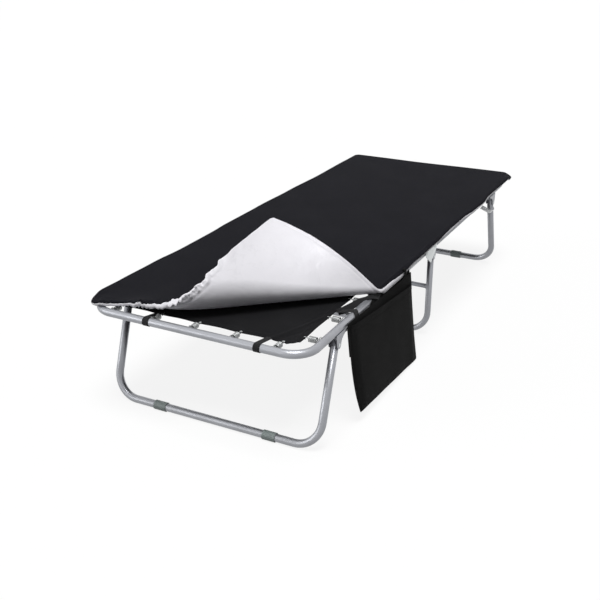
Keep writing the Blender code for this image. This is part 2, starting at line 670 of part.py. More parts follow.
far_corner = rounded_corner(PAD_HALF_WIDTH, PAD_HALF_LENGTH, 1, 1)
far_outline = [(PAD_HALF_WIDTH, PAD_STRIP_Y + GAP), *far_corner,
               *[(-x, y) for x, y in reversed(far_corner)], (-PAD_HALF_WIDTH, PAD_STRIP_Y + GAP)]
near_corner = rounded_corner(PAD_HALF_WIDTH, PAD_HALF_LENGTH, -1, -1)
near_outline = [(-PAD_HALF_WIDTH, -PAD_STRIP_Y - GAP), *near_corner, tuple(FOLD_START), tuple(FOLD_END),
                (PAD_HALF_WIDTH, -PAD_STRIP_Y - GAP)]
pad_z = TOP_Z + PAD_THICKNESS / 2
add_part("far_pad", outline_mesh("far_pad", far_outline, PAD_THICKNESS), "pad_top", far_half, (0, 0, pad_z))
add_part("near_pad", outline_mesh("near_pad", near_outline, PAD_THICKNESS), "pad_top", near_half,
         (0, 0, pad_z))
slab("pad_hinge_strip", (-PAD_HALF_WIDTH, -PAD_STRIP_Y, TOP_Z),
     (PAD_HALF_WIDTH, PAD_STRIP_Y, TOP_Z + PAD_THICKNESS), "pad_top", hinge)

fold_along = (FOLD_END - FOLD_START).normalized()
fold_length = (FOLD_END - FOLD_START).length
fold_out = Vector((fold_along.y, -fold_along.x))
corner_point = Vector((PAD_HALF_WIDTH, -PAD_HALF_LENGTH)) - FOLD_START
corner_along = corner_point.dot(fold_along)
corner_out = corner_point.dot(fold_out)


def rolled(distance, height):
    """Where a point of the turned-back corner lies: its way out from the fold line and up.

    The point is given by its flat distance from the line and its height in the pad.
    """
    angle = min(distance / ROLL_RADIUS, ROLL_ANGLE)
    straight = max(distance - ROLL_RADIUS * ROLL_ANGLE, 0.0)
    out = (ROLL_RADIUS - height) * math.sin(angle) + straight * math.cos(angle)
    up = ROLL_RADIUS - (ROLL_RADIUS - height) * math.cos(angle) + straight * math.sin(angle)
    return out, up


def row_distance(row):
    """Flat distance of a row of the turned-back corner from the fold line."""
    roll_length = ROLL_RADIUS * ROLL_ANGLE
    if row <= ROLL_ROWS:
        return roll_length * row / ROLL_ROWS
    return roll_length + (FLAP_REACH * corner_out - roll_length) * (row - ROLL_ROWS) / FLAT_ROWS


flap_mesh = bpy.data.meshes.new("pad_turned_corner")
sheet = bmesh.new()
bmesh.ops.create_grid(sheet, x_segments=1, y_segments=ROLL_ROWS + FLAT_ROWS, size=1.0)
whole = sheet.verts[:] + sheet.edges[:] + sheet.faces[:]
raised = bmesh.ops.extrude_face_region(sheet, geom=whole, use_keep_orig=True)["geom"]
for vertex in raised:
    if isinstance(vertex, bmesh.types.BMVert):
        vertex.co.z = PAD_THICKNESS
for vertex in sheet.verts:
    distance = row_distance(round((vertex.co.y + 1) / 2 * (ROLL_ROWS + FLAT_ROWS)))
    share = distance / corner_out
    along = corner_along * share + (vertex.co.x + 1) / 2 * fold_length * (1 - share)
    out, up = rolled(distance, vertex.co.z)
    place = FOLD_START + fold_along * along + fold_out * (out + GAP)
    vertex.co = (place.x, place.y, TOP_Z + up)
bmesh.ops.recalc_face_normals(sheet, faces=sheet.faces)
sheet.to_mesh(flap_mesh)
sheet.free()
shade(flap_mesh)
add_part("pad_turned_corner", flap_mesh, "pad_lining", near_half)

# Grey strap round the far right leg, used to tie the folded bed
tie_radius = END_LEG_RADIUS + GAP + TIE_THICKNESS / 2
tie_target = (-TIE_TAIL, tie_radius * TIE_TAIL_SHARE)
tie_path = wrap(tie_target, tie_radius, -1, -STRAP_SWEEP, STRAP_STEPS)
tie_mesh = outline_mesh("closing_strap", ribbon_outline(tie_path, TIE_THICKNESS), TIE_WIDTH)
tie_drop = Matrix.Rotation(end_lean, 3, "X") @ Vector((0, 0, -TIE_DROP))
tie_place = Vector((SIDE_X, END_LEG_PIN_Y, PIN_Z)) + tie_drop
add_part("closing_strap", tie_mesh, "grey_webbing", far_leg_axis, tie_place, (end_lean, 0, 0))
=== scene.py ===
"""Folding camp bed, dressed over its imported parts.

Metres. x runs across the bed, y along it with the turned-back corner at the near end, z up.
"""

import logging
from collections.abc import Callable, Iterable, Sequence
from dataclasses import dataclass, field
from enum import Enum
from itertools import accumulate, pairwise
from math import acos, asin, atan2, cos, degrees, dist, exp, hypot, log, pi, prod, radians, sin, sqrt, tau
from typing import TypeVar

import bmesh
import bpy
from mathutils import Matrix, Vector, noise


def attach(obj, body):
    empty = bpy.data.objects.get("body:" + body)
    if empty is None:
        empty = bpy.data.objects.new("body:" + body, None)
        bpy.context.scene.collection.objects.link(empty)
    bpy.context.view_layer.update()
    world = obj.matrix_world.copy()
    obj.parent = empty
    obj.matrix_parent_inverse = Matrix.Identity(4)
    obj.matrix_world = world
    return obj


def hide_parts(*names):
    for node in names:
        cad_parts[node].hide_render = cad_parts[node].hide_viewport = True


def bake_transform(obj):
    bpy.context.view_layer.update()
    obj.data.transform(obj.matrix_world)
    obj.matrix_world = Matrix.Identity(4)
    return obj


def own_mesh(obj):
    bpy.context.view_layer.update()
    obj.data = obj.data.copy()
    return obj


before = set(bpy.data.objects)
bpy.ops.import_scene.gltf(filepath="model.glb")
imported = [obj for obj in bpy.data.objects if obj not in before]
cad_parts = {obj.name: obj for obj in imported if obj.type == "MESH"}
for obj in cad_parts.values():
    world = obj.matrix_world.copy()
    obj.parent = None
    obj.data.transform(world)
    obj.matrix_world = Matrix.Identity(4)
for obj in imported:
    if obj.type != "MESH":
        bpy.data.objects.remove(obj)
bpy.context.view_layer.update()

report = logging.getLogger("camp_bed")

Mesh = bpy.types.Mesh
Node = bpy.types.Node
NodeTree = bpy.types.NodeTree
Socket = bpy.types.NodeSocket
Thing = bpy.types.Object
Pair = tuple[float, float]
Colour = tuple[float, float, float]
Value = Socket | float | Sequence[float]
Held = TypeVar("Held")

# Sizes shared with the frame
SIDE_X = 0.3625
END_Y = 0.940
FRAME_Z = 0.350
TUBE_RADIUS = 0.0125
FRAME_CORNER = 0.072
TUBE_WALL = 0.0012
TUBE_END_Y = 0.006
GAP = 0.0003
END_PIN_Y = 0.7533
PIN_Z = 0.312
END_FOOT_Y = 0.8544
FOOT_Z = 0.014
LEG_TOP = 0.013
END_LEAN = atan2(END_FOOT_Y - END_PIN_Y, PIN_Z - FOOT_Z)
CENTRE_RADIUS = 0.011
CENTRE_PIN_Y = 0.042
CENTRE_FOOT_Z = 0.0125
LEG_CORNER = 0.080
SLEEVE_X = 0.195
LINK_PIN_Y = 0.0385
HEM_X = 0.3094
CLOTH_HALF = 0.307
CLOTH_END = 0.882
END_SPRING_X = (-0.290, -0.146, -0.0145, 0.123, 0.261)
SIDE_SPRING_FIRST = 0.826
SIDE_SPRING_PITCH = 0.152
SIDE_SPRING_COUNT = 6
END_STRAP_X = (-0.156, 0.216)
STRAP_THICKNESS = 0.0011
STRAP_RADIUS = TUBE_RADIUS + GAP + STRAP_THICKNESS / 2
PAD_Z = 0.3645
PAD_RIGHT = 0.388
PAD_NEAR = -0.9293
PAD_FAR = 0.955

# What several parts share
SOFT_MERGE = 4e-6
BEVEL_ANGLE = 35
RIVET_STEM = 0.003
RIVET_DOME = ((0.0, 0.0021), (0.0016, 0.0020), (0.0035, 0.0016), (0.0050, 0.0009), (0.0057, 0.0003),
              (0.0056, 0.0))
STRAP_SECTION = (-0.5, -0.46, -0.25, 0.0, 0.25, 0.46, 0.5)

# Lays a shape drawn in XY across the bed, its thickness along x
ACROSS = Matrix(((0, 0, 1, 0), (1, 0, 0, 0), (0, 1, 0, 0), (0, 0, 0, 1)))


class Body(Enum):
    """The moving bodies of the bed."""

    FAR = "far_half"
    LINKS = "hinge_links"
    NEAR = "near_half"
    NEAR_LEG = "near_leg"
    FAR_LEG = "far_leg"
    CENTRE_LEG = "centre_leg"


class Surface(Enum):
    """What a pattern is laid on: the node that gives it, its settings and its output."""

    OBJECT = ("ShaderNodeTexCoord", {}, "Object")
    CUT = ("ShaderNodeUVMap", {"uv_map": "cut"}, "UV")


HANDS = (("left", -1), ("right", 1))
HALVES = (("near", -1, Body.NEAR), ("far", 1, Body.FAR))


def tuned(thing: Held, **values: object) -> Held:
    """Sets a thing's properties by name and returns it."""
    for key, value in values.items():
        setattr(thing, key, value)
    return thing


def placed(name: str, data: bpy.types.ID) -> Thing:
    """A new object in the scene."""
    thing = bpy.data.objects.new(name, data)
    bpy.context.scene.collection.objects.link(thing)
    return thing


def plain_mesh(holder: Thing) -> Mesh:
    """The mesh that an object gives once evaluated; the object itself goes."""
    depsgraph = bpy.context.evaluated_depsgraph_get()
    mesh = bpy.data.meshes.new_from_object(holder.evaluated_get(depsgraph), depsgraph=depsgraph)
    bpy.data.objects.remove(holder, do_unlink=True)
    return mesh


# Node trees


class Tree:
    """A node tree under construction."""

    def __init__(self, tree: NodeTree) -> None:
        """Keeps the tree that nodes are added to."""
        self.tree = tree

    def put(self, socket: Socket, value: Value) -> None:
        """Links a socket to an input, or sets the input's own value."""
        if isinstance(value, Socket):
            self.tree.links.new(value, socket)
        else:
            opaque = socket.type == "RGBA" and len(value) == 3
            socket.default_value = (*value, 1.0) if opaque else value

    def add(self, kind: str, inputs: dict | None = None, **settings: object) -> Node:
        """Adds a node with its inputs, by name or index, and its own settings."""
        node = tuned(self.tree.nodes.new(kind), **settings)
        for key, value in (inputs or {}).items():
            self.put(node.inputs[key], value)
        return node

    def made(self, kind: str, inputs: dict | None = None, **settings: object) -> Socket:
        """Adds a node and returns its first output."""
        return self.add(kind, inputs, **settings).outputs[0]

    def found(self, kind: str) -> Node:
        """The node of a type that the tree came with."""
        return next(node for node in self.tree.nodes if node.type == kind)

    def math(self, operation: str, *terms: Value) -> Socket:
        """Adds a Math node and returns its result."""
        return self.made("ShaderNodeMath", dict(enumerate(terms)), operation=operation)

    def mix(self, factor: Value, first: Value, second: Value) -> Socket:
        """Adds a colour mix and returns its result."""
        return self.add("ShaderNodeMix", {0: factor, 6: first, 7: second}, data_type="RGBA").outputs[2]

    def ramp(self, value: Socket, to_low: float, to_high: float, low: float = 0.0,
             high: float = 1.0) -> Socket:
        """Maps a value from one range to another, clamped."""
        return self.made("ShaderNodeMapRange", {0: value, 1: low, 2: high, 3: to_low, 4: to_high})

    def noise(self, place: Socket, scale: Value, detail: float, **more: float) -> Socket:
        """Adds a noise texture and returns its value."""
        return self.made("ShaderNodeTexNoise", {"Vector": place, "Scale": scale, "Detail": detail, **more})

    def axes(self, place: Socket) -> Sequence[Socket]:
        """The x, y and z of a place."""
        return self.add("ShaderNodeSeparateXYZ", {0: place}).outputs

    def close(self, kind: str, **outputs: Socket) -> NodeTree:
        """Ends a node group with its outputs by name, all of one kind, and returns its tree."""
        for label in outputs:
            self.tree.interface.new_socket(name=label, in_out="OUTPUT", socket_type=f"NodeSocket{kind}")
        self.add("NodeGroupOutput", outputs)
        return self.tree


def new_group(name: str, kind: str, inputs: dict[str, float | int | str]) -> tuple[Tree, Sequence[Socket]]:
    """Starts a node group.

    Args:
        name: The group's name.
        kind: Shader or Geometry.
        inputs: By name, the default of a number or the kind of another input.

    Returns:
        The tree builder and the sockets that give the inputs.
    """
    tree = bpy.data.node_groups.new(name, f"{kind}NodeTree")
    for label, value in inputs.items():
        number = {float: "Float", int: "Int"}.get(type(value))
        kind_of = f"NodeSocket{number or value}"
        socket = tree.interface.new_socket(name=label, in_out="INPUT", socket_type=kind_of)
        if number:
            socket.default_value = value
    build = Tree(tree)
    return build, build.add("NodeGroupInput").outputs


class Effects:
    """Shader groups that several finishes share, each built once."""

    def __init__(self) -> None:
        """Builds every group."""
        self.weave = self._weave()
        self.mottle = self._mottle()
        self.crinkle = self._crinkle()
        self.ribs = self._ribs()
        self.wear = self._wear()

    @staticmethod
    def _weave() -> NodeTree:
        """Plain weave: threads that pass over and under each other."""
        build, given = new_group("weave", "Shader", {"Vector": "Vector", "Threads": 1200.0})
        pace = build.math("MULTIPLY", given["Threads"], pi)
        warp, weft = (build.math("SINE", build.math("MULTIPLY", axis, pace))
                      for axis in build.axes(given["Vector"])[:2])
        over = build.math("GREATER_THAN", build.math("MULTIPLY", warp, weft), 0.0)
        high = build.math("MULTIPLY", build.math("ABSOLUTE", warp), over)
        low = build.math("MULTIPLY", build.math("ABSOLUTE", weft), build.math("SUBTRACT", 1.0, over))
        return build.close("Float", Height=build.math("ADD", high, low))

    @staticmethod
    def _mottle() -> NodeTree:
        """Broad and fine unevenness of a dyed or coated surface."""
        build, given = new_group("mottle", "Shader", {"Vector": "Vector", "Broad": 6.0, "Fine": 180.0})
        broad = build.noise(given["Vector"], given["Broad"], 3.0)
        fine = build.noise(given["Vector"], given["Fine"], 2.0)
        return build.close("Float", Patches=build.ramp(broad, 0.0, 1.0, 0.35, 0.65),
                           Specks=build.ramp(fine, 0.0, 1.0, 0.3, 0.7))

    @staticmethod
    def _crinkle() -> NodeTree:
        """Soft creases of a thin sheet: folded noise at two sizes."""
        build, given = new_group("crinkle", "Shader", {"Vector": "Vector", "Size": 18.0})
        broad = build.noise(given["Vector"], given["Size"], 2.0, Distortion=0.6)
        finer = build.math("MULTIPLY", given["Size"], 3.1)
        fine = build.noise(given["Vector"], finer, 1.0, Distortion=0.4)
        broad, fine = (build.math("ABSOLUTE", build.math("SUBTRACT", fold, 0.5)) for fold in (broad, fine))
        return build.close("Float", Height=build.math("MULTIPLY_ADD", fine, 0.35, broad))

    @staticmethod
    def _ribs() -> NodeTree:
        """Ribs across a woven strap, laid along its own length."""
        build, given = new_group("ribs", "Shader", {"Vector": "Vector", "Pitch": 0.0018})
        across, along = (build.math("DIVIDE", axis, given["Pitch"])
                         for axis in build.axes(given["Vector"])[:2])
        turns = build.math("ADD", along, build.math("PINGPONG", across, 1.0))
        wave = build.math("SINE", build.math("MULTIPLY", turns, tau))
        return build.close("Float", Height=build.math("MULTIPLY_ADD", wave, 0.5, 0.5))

    @staticmethod
    def _wear() -> NodeTree:
        """Fine scuffs, and a dusting near the floor."""
        build, given = new_group("wear", "Shader", {"Vector": "Vector", "Scuffs": 60.0, "Floor": 0.06})
        fine = build.noise(given["Vector"], given["Scuffs"], 5.0, Roughness=0.65)
        height = build.math("DIVIDE", build.axes(given["Vector"])[2], given["Floor"])
        low = build.math("MAXIMUM", build.math("SUBTRACT", 1.0, height), 0.0)
        return build.close("Float", Mask=build.ramp(fine, 0.0, 1.0, 0.62, 0.74),
                           Dust=build.math("MULTIPLY", low, fine))


class MaterialDraft(Tree):
    """One material: a Principled shader with its pattern coordinates."""

    def __init__(self, name: str, surface: Surface | None = None) -> None:
        """Starts the material with its coordinates."""
        self.material = tuned(bpy.data.materials.new(name), use_nodes=True)
        super().__init__(self.material.node_tree)
        self.shader = self.found("BSDF_PRINCIPLED")
        if surface:
            kind, settings, output = surface.value
            self.place = self.add(kind, **settings).outputs[output]

    def group(self, tree: NodeTree, **values: float) -> Sequence[Socket]:
        """Places a shared effect on the material's own coordinates and returns its outputs."""
        return self.add("ShaderNodeGroup", {"Vector": self.place, **values}, node_tree=tree).outputs

    def dress(self, bumps: Sequence[tuple[Socket, float, float]] = (), **values: Value) -> bpy.types.Material:
        """Sets the shader.

        Args:
            bumps: Rows of height, strength and depth in metres, stacked on the normal.
            values: The shader's inputs, with underscores for the spaces in their names.

        Returns:
            The material.
        """
        for height, strength, depth in bumps:
            inputs = {"Height": height, "Strength": strength, "Distance": depth}
            if "Normal" in values:
                inputs["Normal"] = values["Normal"]
            values["Normal"] = self.made("ShaderNodeBump", inputs)
        for key, value in values.items():
            self.put(self.shader.inputs[key.replace("_", " ")], value)
        return self.material


def toned(colour: Colour, share: float, lift: float = 0.0) -> Colour:
    """A colour made darker or paler."""
    return tuple(min(1.0, part * share + lift) for part in colour)


@dataclass(frozen=True)
class Finish:
    """What every finish has: its material's name, its slot and its colour."""

    name: str
    slot: str
    colour: Colour


@dataclass(frozen=True)
class Metal(Finish):
    """Coated or plated steel."""

    worn: Colour
    metallic: float
    roughness: float
    peel: float = 900.0
    dust: Colour = (0.30, 0.29, 0.27)

    def material(self, effects: Effects) -> bpy.types.Material:
        """Builds the finish: orange-peel coat, scuffs and dust low down."""
        draft = MaterialDraft(self.name, Surface.OBJECT)
        patches, specks = draft.group(effects.mottle, Broad=14.0, Fine=self.peel)
        scuffs, dust = draft.group(effects.wear, Scuffs=70.0, Floor=0.07)
        base = draft.mix(patches, self.colour, toned(self.colour, 0.90))
        base = draft.mix(draft.math("MULTIPLY", scuffs, 0.45), base, self.worn)
        base = draft.mix(draft.math("MULTIPLY", dust, 0.15), base, self.dust)
        rough = draft.ramp(patches, self.roughness - 0.04, self.roughness + 0.05)
        rough = draft.math("MULTIPLY_ADD", scuffs, 0.12, rough)
        return draft.dress([(specks, 0.12, 0.0002), (scuffs, 0.10, 0.0001)],
                           Base_Color=base, Roughness=rough, Metallic=self.metallic)


@dataclass(frozen=True)
class Plastic(Finish):
    """Moulded plastic with a fine grain."""

    roughness: float

    def material(self, effects: Effects) -> bpy.types.Material:
        """Builds the finish: grain, faint flow marks and scuffs."""
        draft = MaterialDraft(self.name, Surface.OBJECT)
        patches, specks = draft.group(effects.mottle, Broad=40.0, Fine=1400.0)
        scuffs, _ = draft.group(effects.wear, Scuffs=110.0, Floor=0.012)
        pale = toned(self.colour, 1.25, 0.01)
        base = draft.mix(draft.math("MULTIPLY", patches, 0.5), self.colour, pale)
        base = draft.mix(draft.math("MULTIPLY", scuffs, 0.3), base, pale)
        rough = draft.ramp(specks, self.roughness - 0.05, self.roughness + 0.08)
        return draft.dress([(specks, 0.25, 0.0002)], Base_Color=base, Roughness=rough)


@dataclass(frozen=True)
class Fabric(Finish):
    """Woven or brushed cloth."""

    faded: Colour
    threads: float
    roughness: float
    sheen: float
    nap: float = 0.0
    crease: float = 0.25

    def material(self, effects: Effects) -> bpy.types.Material:
        """Builds the finish: weave with painted shade between threads, uneven dye, nap and soft creases."""
        draft = MaterialDraft(self.name, Surface.CUT)
        (weave,) = draft.group(effects.weave, Threads=self.threads)
        patches, specks = draft.group(effects.mottle, Broad=7.0, Fine=260.0)
        (crinkle,) = draft.group(effects.crinkle, Size=9.0)
        base = draft.mix(draft.math("MULTIPLY", patches, 0.8), self.colour, self.faded)
        fuzz = draft.math("MULTIPLY", specks, 0.25 + 0.3 * self.nap)
        base = draft.mix(fuzz, base, toned(self.faded, 1.5, 0.004))
        # Painted shade: the low places of the weave, between the threads, take a darker colour.
        base = draft.mix(draft.ramp(weave, 0.45, 0.0, 0.0, 0.5), base, toned(self.colour, 0.5))
        rough = draft.ramp(specks, self.roughness - 0.05, self.roughness + 0.06)
        bumps = [(crinkle, self.crease, 0.004), (specks, 0.15 + self.nap, 0.0006), (weave, 0.5, 0.0003)]
        return draft.dress(bumps, Base_Color=base, Roughness=rough, Sheen_Weight=self.sheen,
                           Sheen_Roughness=0.5, Specular_IOR_Level=0.04)


@dataclass(frozen=True)
class Lining(Finish):
    """Coated silvery cloth, creased like thin foil."""

    shade: Colour
    roughness: float

    def material(self, effects: Effects) -> bpy.types.Material:
        """Builds the finish: foil creases with painted shade along them, rip-stop weave and a satin coat."""
        draft = MaterialDraft(self.name, Surface.CUT)
        (weave,) = draft.group(effects.weave, Threads=700.0)
        patches = draft.group(effects.mottle, Broad=9.0, Fine=120.0)[0]
        (crinkle,) = draft.group(effects.crinkle, Size=11.0)
        base = draft.mix(draft.math("MULTIPLY", patches, 0.7), self.colour, self.shade)
        # Painted shade: the lines of the foil creases take a darker colour.
        base = draft.mix(draft.ramp(crinkle, 0.25, 0.0, 0.0, 0.03), base, toned(self.shade, 0.86))
        rough = draft.ramp(crinkle, self.roughness - 0.06, self.roughness + 0.08, 0.0, 0.2)
        return draft.dress([(crinkle, 0.35, 0.006), (weave, 0.15, 0.0003)], Base_Color=base,
                           Roughness=rough, Metallic=0.04, Specular_IOR_Level=0.16)


@dataclass(frozen=True)
class Webbing(Finish):
    """Flat woven strap."""

    highlight: Colour
    pitch: float = 0.0018
    shine: float = 0.0

    def material(self, effects: Effects) -> bpy.types.Material:
        """Builds the finish: herringbone ribs with painted highlights on their crests, a little sheen."""
        draft = MaterialDraft(self.name, Surface.CUT)
        (ribs,) = draft.group(effects.ribs, Pitch=self.pitch)
        patches, specks = draft.group(effects.mottle, Broad=30.0, Fine=500.0)
        # Painted highlight: the crest of each rib takes the lighter highlight colour.
        base = draft.mix(ribs, self.colour, self.highlight)
        base = draft.mix(draft.math("MULTIPLY", patches, 0.3), base, self.colour)
        return draft.dress([(ribs, 0.8, 0.0006), (specks, 0.2, 0.0003)], Base_Color=base,
                           Sheen_Weight=0.03, Sheen_Roughness=0.4, Specular_IOR_Level=0.2,
                           Metallic=self.shine, Roughness=draft.ramp(specks, 0.62, 0.78))


class Palette:
    """Every finish of the bed, with its built material."""

    def __init__(self) -> None:
        """Builds the shared effects and then the materials."""
        effects = Effects()
        finishes = {
            "coat": Metal("steel_grey_coat", "steel_grey", (0.40, 0.41, 0.44), (0.50, 0.51, 0.53), 0.6, 0.34),
            "zinc": Metal("zinc_plate", "zinc", (0.66, 0.69, 0.69), (0.80, 0.82, 0.82), 0.85, 0.30),
            "spring": Metal("spring_wire", "zinc", (0.40, 0.41, 0.41), (0.70, 0.71, 0.71), 0.75, 0.28),
            "sleeve": Plastic("sleeve_moulding", "sleeve_plastic", (0.235, 0.275, 0.268), 0.42),
            "plug": Plastic("plug_moulding", "plug_plastic", (0.025, 0.025, 0.028), 0.45),
            "cloth": Fabric("bed_cloth_weave", "bed_cloth", (0.007, 0.007, 0.008), (0.011, 0.011, 0.012),
                            900.0, 0.72, 0.02),
            "top": Fabric("pad_top_brushed", "pad_top", (0.0054, 0.0054, 0.0080), (0.0084, 0.0084, 0.0114),
                          620.0, 0.88, 0.03, nap=0.35, crease=0.15),
            "lining": Lining("pad_lining_coated", "pad_lining", (0.82, 0.81, 0.85), (0.77, 0.76, 0.80), 0.42),
            "black_web": Webbing("black_strap", "black_webbing", (0.006, 0.006, 0.0065),
                                 (0.014, 0.014, 0.0155)),
            "grey_web": Webbing("grey_strap", "grey_webbing", (0.74, 0.75, 0.76), (0.92, 0.93, 0.94),
                                shine=0.8),
            "pocket": Fabric("pocket_canvas", "pocket_cloth", (0.0048,) * 3, (0.0075,) * 3, 820.0, 0.78, 0.02,
                             crease=0.35),
            "thread": Webbing("seam_thread", "bed_cloth", (0.012, 0.012, 0.013), (0.030, 0.030, 0.032),
                              pitch=0.0009),
        }
        self.slots = {key: finish.slot for key, finish in finishes.items()}
        self.materials = {key: finish.material(effects) for key, finish in finishes.items()}


# Geometry trees


def tube_tree() -> NodeTree:
    """A round tube along a polyline whose corners are rounded."""
    build, given = new_group("tube_on_path", "Geometry", {
        "Geometry": "Geometry", "Radius": 0.01, "Corner": 0.05, "Sides": 32, "Steps": 16,
        "Finish": "Material"})
    path = build.made("GeometryNodeMeshToCurve", {0: given["Geometry"]})
    rounded = build.made("GeometryNodeFilletCurve", {
        "Curve": path, "Radius": given["Corner"], "Count": given["Steps"]}, mode="POLY")
    ring = build.made("GeometryNodeCurvePrimitiveCircle", {
        "Resolution": given["Sides"], "Radius": given["Radius"]})
    skin = build.made("GeometryNodeCurveToMesh", {"Curve": rounded, "Profile Curve": ring})
    return dressed(build, skin, given)


def row_tree() -> NodeTree:
    """A piece repeated on points, turned by each point's own angles."""
    build, given = new_group("row_of_pieces", "Geometry", {
        "Geometry": "Geometry", "Piece": "Object", "Finish": "Material"})
    piece = build.add("GeometryNodeObjectInfo", {"Object": given["Piece"]}).outputs["Geometry"]
    angle = build.made("GeometryNodeInputNamedAttribute", {"Name": "turn"}, data_type="FLOAT_VECTOR")
    rows = build.made("GeometryNodeInstanceOnPoints", {
        "Points": given["Geometry"], "Instance": piece, "Rotation": angle})
    return dressed(build, rows, given)


def stitch_tree() -> NodeTree:
    """Stitches of thread at an even pitch along a path."""
    build, given = new_group("stitches_on_path", "Geometry", {
        "Geometry": "Geometry", "Pitch": 0.005, "Length": 0.0034, "Thread": 0.0005, "Finish": "Material"})
    path = build.made("GeometryNodeMeshToCurve", {0: given["Geometry"]})
    dots = build.made("GeometryNodeResampleCurve", {"Curve": path, "Length": given["Pitch"]}, mode="LENGTH")
    tangent = build.made("GeometryNodeInputTangent")
    aligned = build.made("FunctionNodeAlignRotationToVector", {"Vector": tangent}, axis="Z")
    stitch = build.made("GeometryNodeMeshCylinder", {
        "Vertices": 6, "Side Segments": 2, "Radius": given["Thread"], "Depth": given["Length"]},
        fill_type="TRIANGLE_FAN")
    rows = build.made("GeometryNodeInstanceOnPoints", {
        "Points": dots, "Instance": stitch, "Rotation": aligned})
    return dressed(build, rows, given)


def dressed(build: Tree, shape: Socket, given: Sequence[Socket]) -> NodeTree:
    """Ends a tree: smooth shading, instances realized, material set."""
    smooth = build.made("GeometryNodeSetShadeSmooth", {0: shape})
    real = build.made("GeometryNodeRealizeInstances", {0: smooth})
    done = build.made("GeometryNodeSetMaterial", {"Geometry": real, "Material": given["Finish"]})
    return build.close("Geometry", Geometry=done)


class Workshop:
    """Makes pieces and settles where they belong."""

    def __init__(self, palette: Palette) -> None:
        """Keeps the palette and builds the geometry trees."""
        self.palette = palette
        self.tubes = tube_tree()
        self.rows = row_tree()
        self.stitches = stitch_tree()

    def baked(self, tree: NodeTree, source: Mesh, **values: object) -> Mesh:
        """Runs a geometry tree on a mesh and returns the plain result."""
        holder = placed("holder", source)
        modifier = tuned(holder.modifiers.new("tree", "NODES"), node_group=tree)
        for item in tree.interface.items_tree:
            if item.in_out == "INPUT" and item.name in values:
                modifier[item.identifier] = values[item.name]
        return plain_mesh(holder)

    def piece(self, name: str, mesh: Mesh, finish: str, body: Body | None,
              replaces: Sequence[str] = ()) -> Thing:
        """Turns a mesh into a piece of the bed.

        Args:
            name: The piece's name.
            mesh: Its mesh, placed in the bed's own frame.
            finish: The palette key of its material.
            body: The body it rides on, or None to leave it on no body.
            replaces: The CAD nodes it stands for.

        Returns:
            The piece's object.
        """
        mesh.name = name
        mesh.materials.clear()
        mesh.materials.append(self.palette.materials[finish])
        thing = placed(name, mesh)
        if body is not None:
            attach(thing, body.value)
        if replaces:
            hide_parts(*replaces)
        report.info("%s: %d faces", name, len(mesh.polygons))
        return thing

    def stand_in(self, node: str, word: str, mesh: Mesh, finish: str, body: Body) -> Thing:
        """A piece that stands for one CAD node and is named after it."""
        return self.piece(f"{node}_{word}", mesh, finish, body, [node])

    def tube(self, path: Sequence[Vector], radius: float, corner: float, sides: int = 32,
             steps: int = 14) -> Mesh:
        """The open skin of a tube along a path."""
        source = line_mesh([path])
        return sealed(self.baked(self.tubes, source, Radius=radius, Corner=corner, Sides=sides, Steps=steps))

    def row(self, piece: Mesh, places: Sequence[tuple[Vector, tuple]]) -> Mesh:
        """A mesh repeated at places, rows of (point, angles)."""
        model = placed("model", piece)
        points = mesh_of([point for point, _ in places])
        turn = points.attributes.new("turn", "FLOAT_VECTOR", "POINT")
        for value, (_, angles) in zip(turn.data, places):
            value.vector = angles
        mesh = self.baked(self.rows, points, Piece=model)
        bpy.data.objects.remove(model, do_unlink=True)
        return mesh

    def seam(self, paths: Sequence[Sequence[Vector]]) -> Mesh:
        """Stitches along paths."""
        return self.baked(self.stitches, line_mesh(paths), Pitch=0.0055, Length=0.0038, Thread=0.00055)


# Mesh code


def mesh_of(points: Iterable[Sequence[float]], edges: Sequence = (), faces: Sequence = ()) -> Mesh:
    """A mesh of points with edges or faces."""
    mesh = bpy.data.meshes.new("mesh")
    mesh.from_pydata([tuple(point) for point in points], edges, faces)
    return mesh


def line_mesh(paths: Sequence[Sequence[Vector]]) -> Mesh:
    """A mesh of open polylines."""
    points, edges = [], []
    for path in paths:
        first = len(points)
        points.extend(path)
        edges.extend(pairwise(range(first, len(points))))
    return mesh_of(points, edges)


def ring_faces(rings: int, count: int) -> list[tuple[int, ...]]:
    """The faces between closed rings of points."""
    starts = range(0, (rings - 1) * count, count)
    steps = [(low, low + count, k, (k + 1) % count) for low in starts for k in range(count)]
    return [(low + k, low + after, high + after, high + k) for low, high, k, after in steps]


def sealed(mesh: Mesh, merge: float = 1e-6, smooth: bool = True, sharp: float | None = None) -> Mesh:
    """Merges a mesh's doubles, turns its faces outward and shades it.

    Args:
        mesh: The mesh, changed in place.
        merge: Distance under which two points become one.
        smooth: Whether faces are shaded smooth.
        sharp: Angle in degrees above which an edge stays sharp, or None.

    Returns:
        The same mesh.
    """
    work = bmesh.new()
    work.from_mesh(mesh)
    bmesh.ops.remove_doubles(work, verts=work.verts, dist=merge)
    bmesh.ops.dissolve_degenerate(work, dist=merge / 2, edges=work.edges)
    loose = [vert for vert in work.verts if not vert.link_faces]
    bmesh.ops.delete(work, geom=loose, context="VERTS")
    bmesh.ops.recalc_face_normals(work, faces=work.faces)
    work.to_mesh(mesh)
    work.free()
    if smooth:
        mesh.shade_smooth()
    if sharp is not None:
        mesh.set_sharp_from_angle(angle=radians(sharp))
    return mesh


def joined(meshes: Sequence[Mesh]) -> Mesh:
    """Several meshes as one."""
    work = bmesh.new()
    for mesh in meshes:
        work.from_mesh(mesh)
    whole = bpy.data.meshes.new("joined")
    work.to_mesh(whole)
    work.free()
    whole.shade_smooth()
    return whole


def moved(mesh: Mesh, place: Sequence[float], turn: Matrix = ACROSS) -> Mesh:
    """A mesh turned, laid across the bed unless told otherwise, and then moved."""
    mesh.transform(Matrix.Translation(place) @ turn)
    return mesh


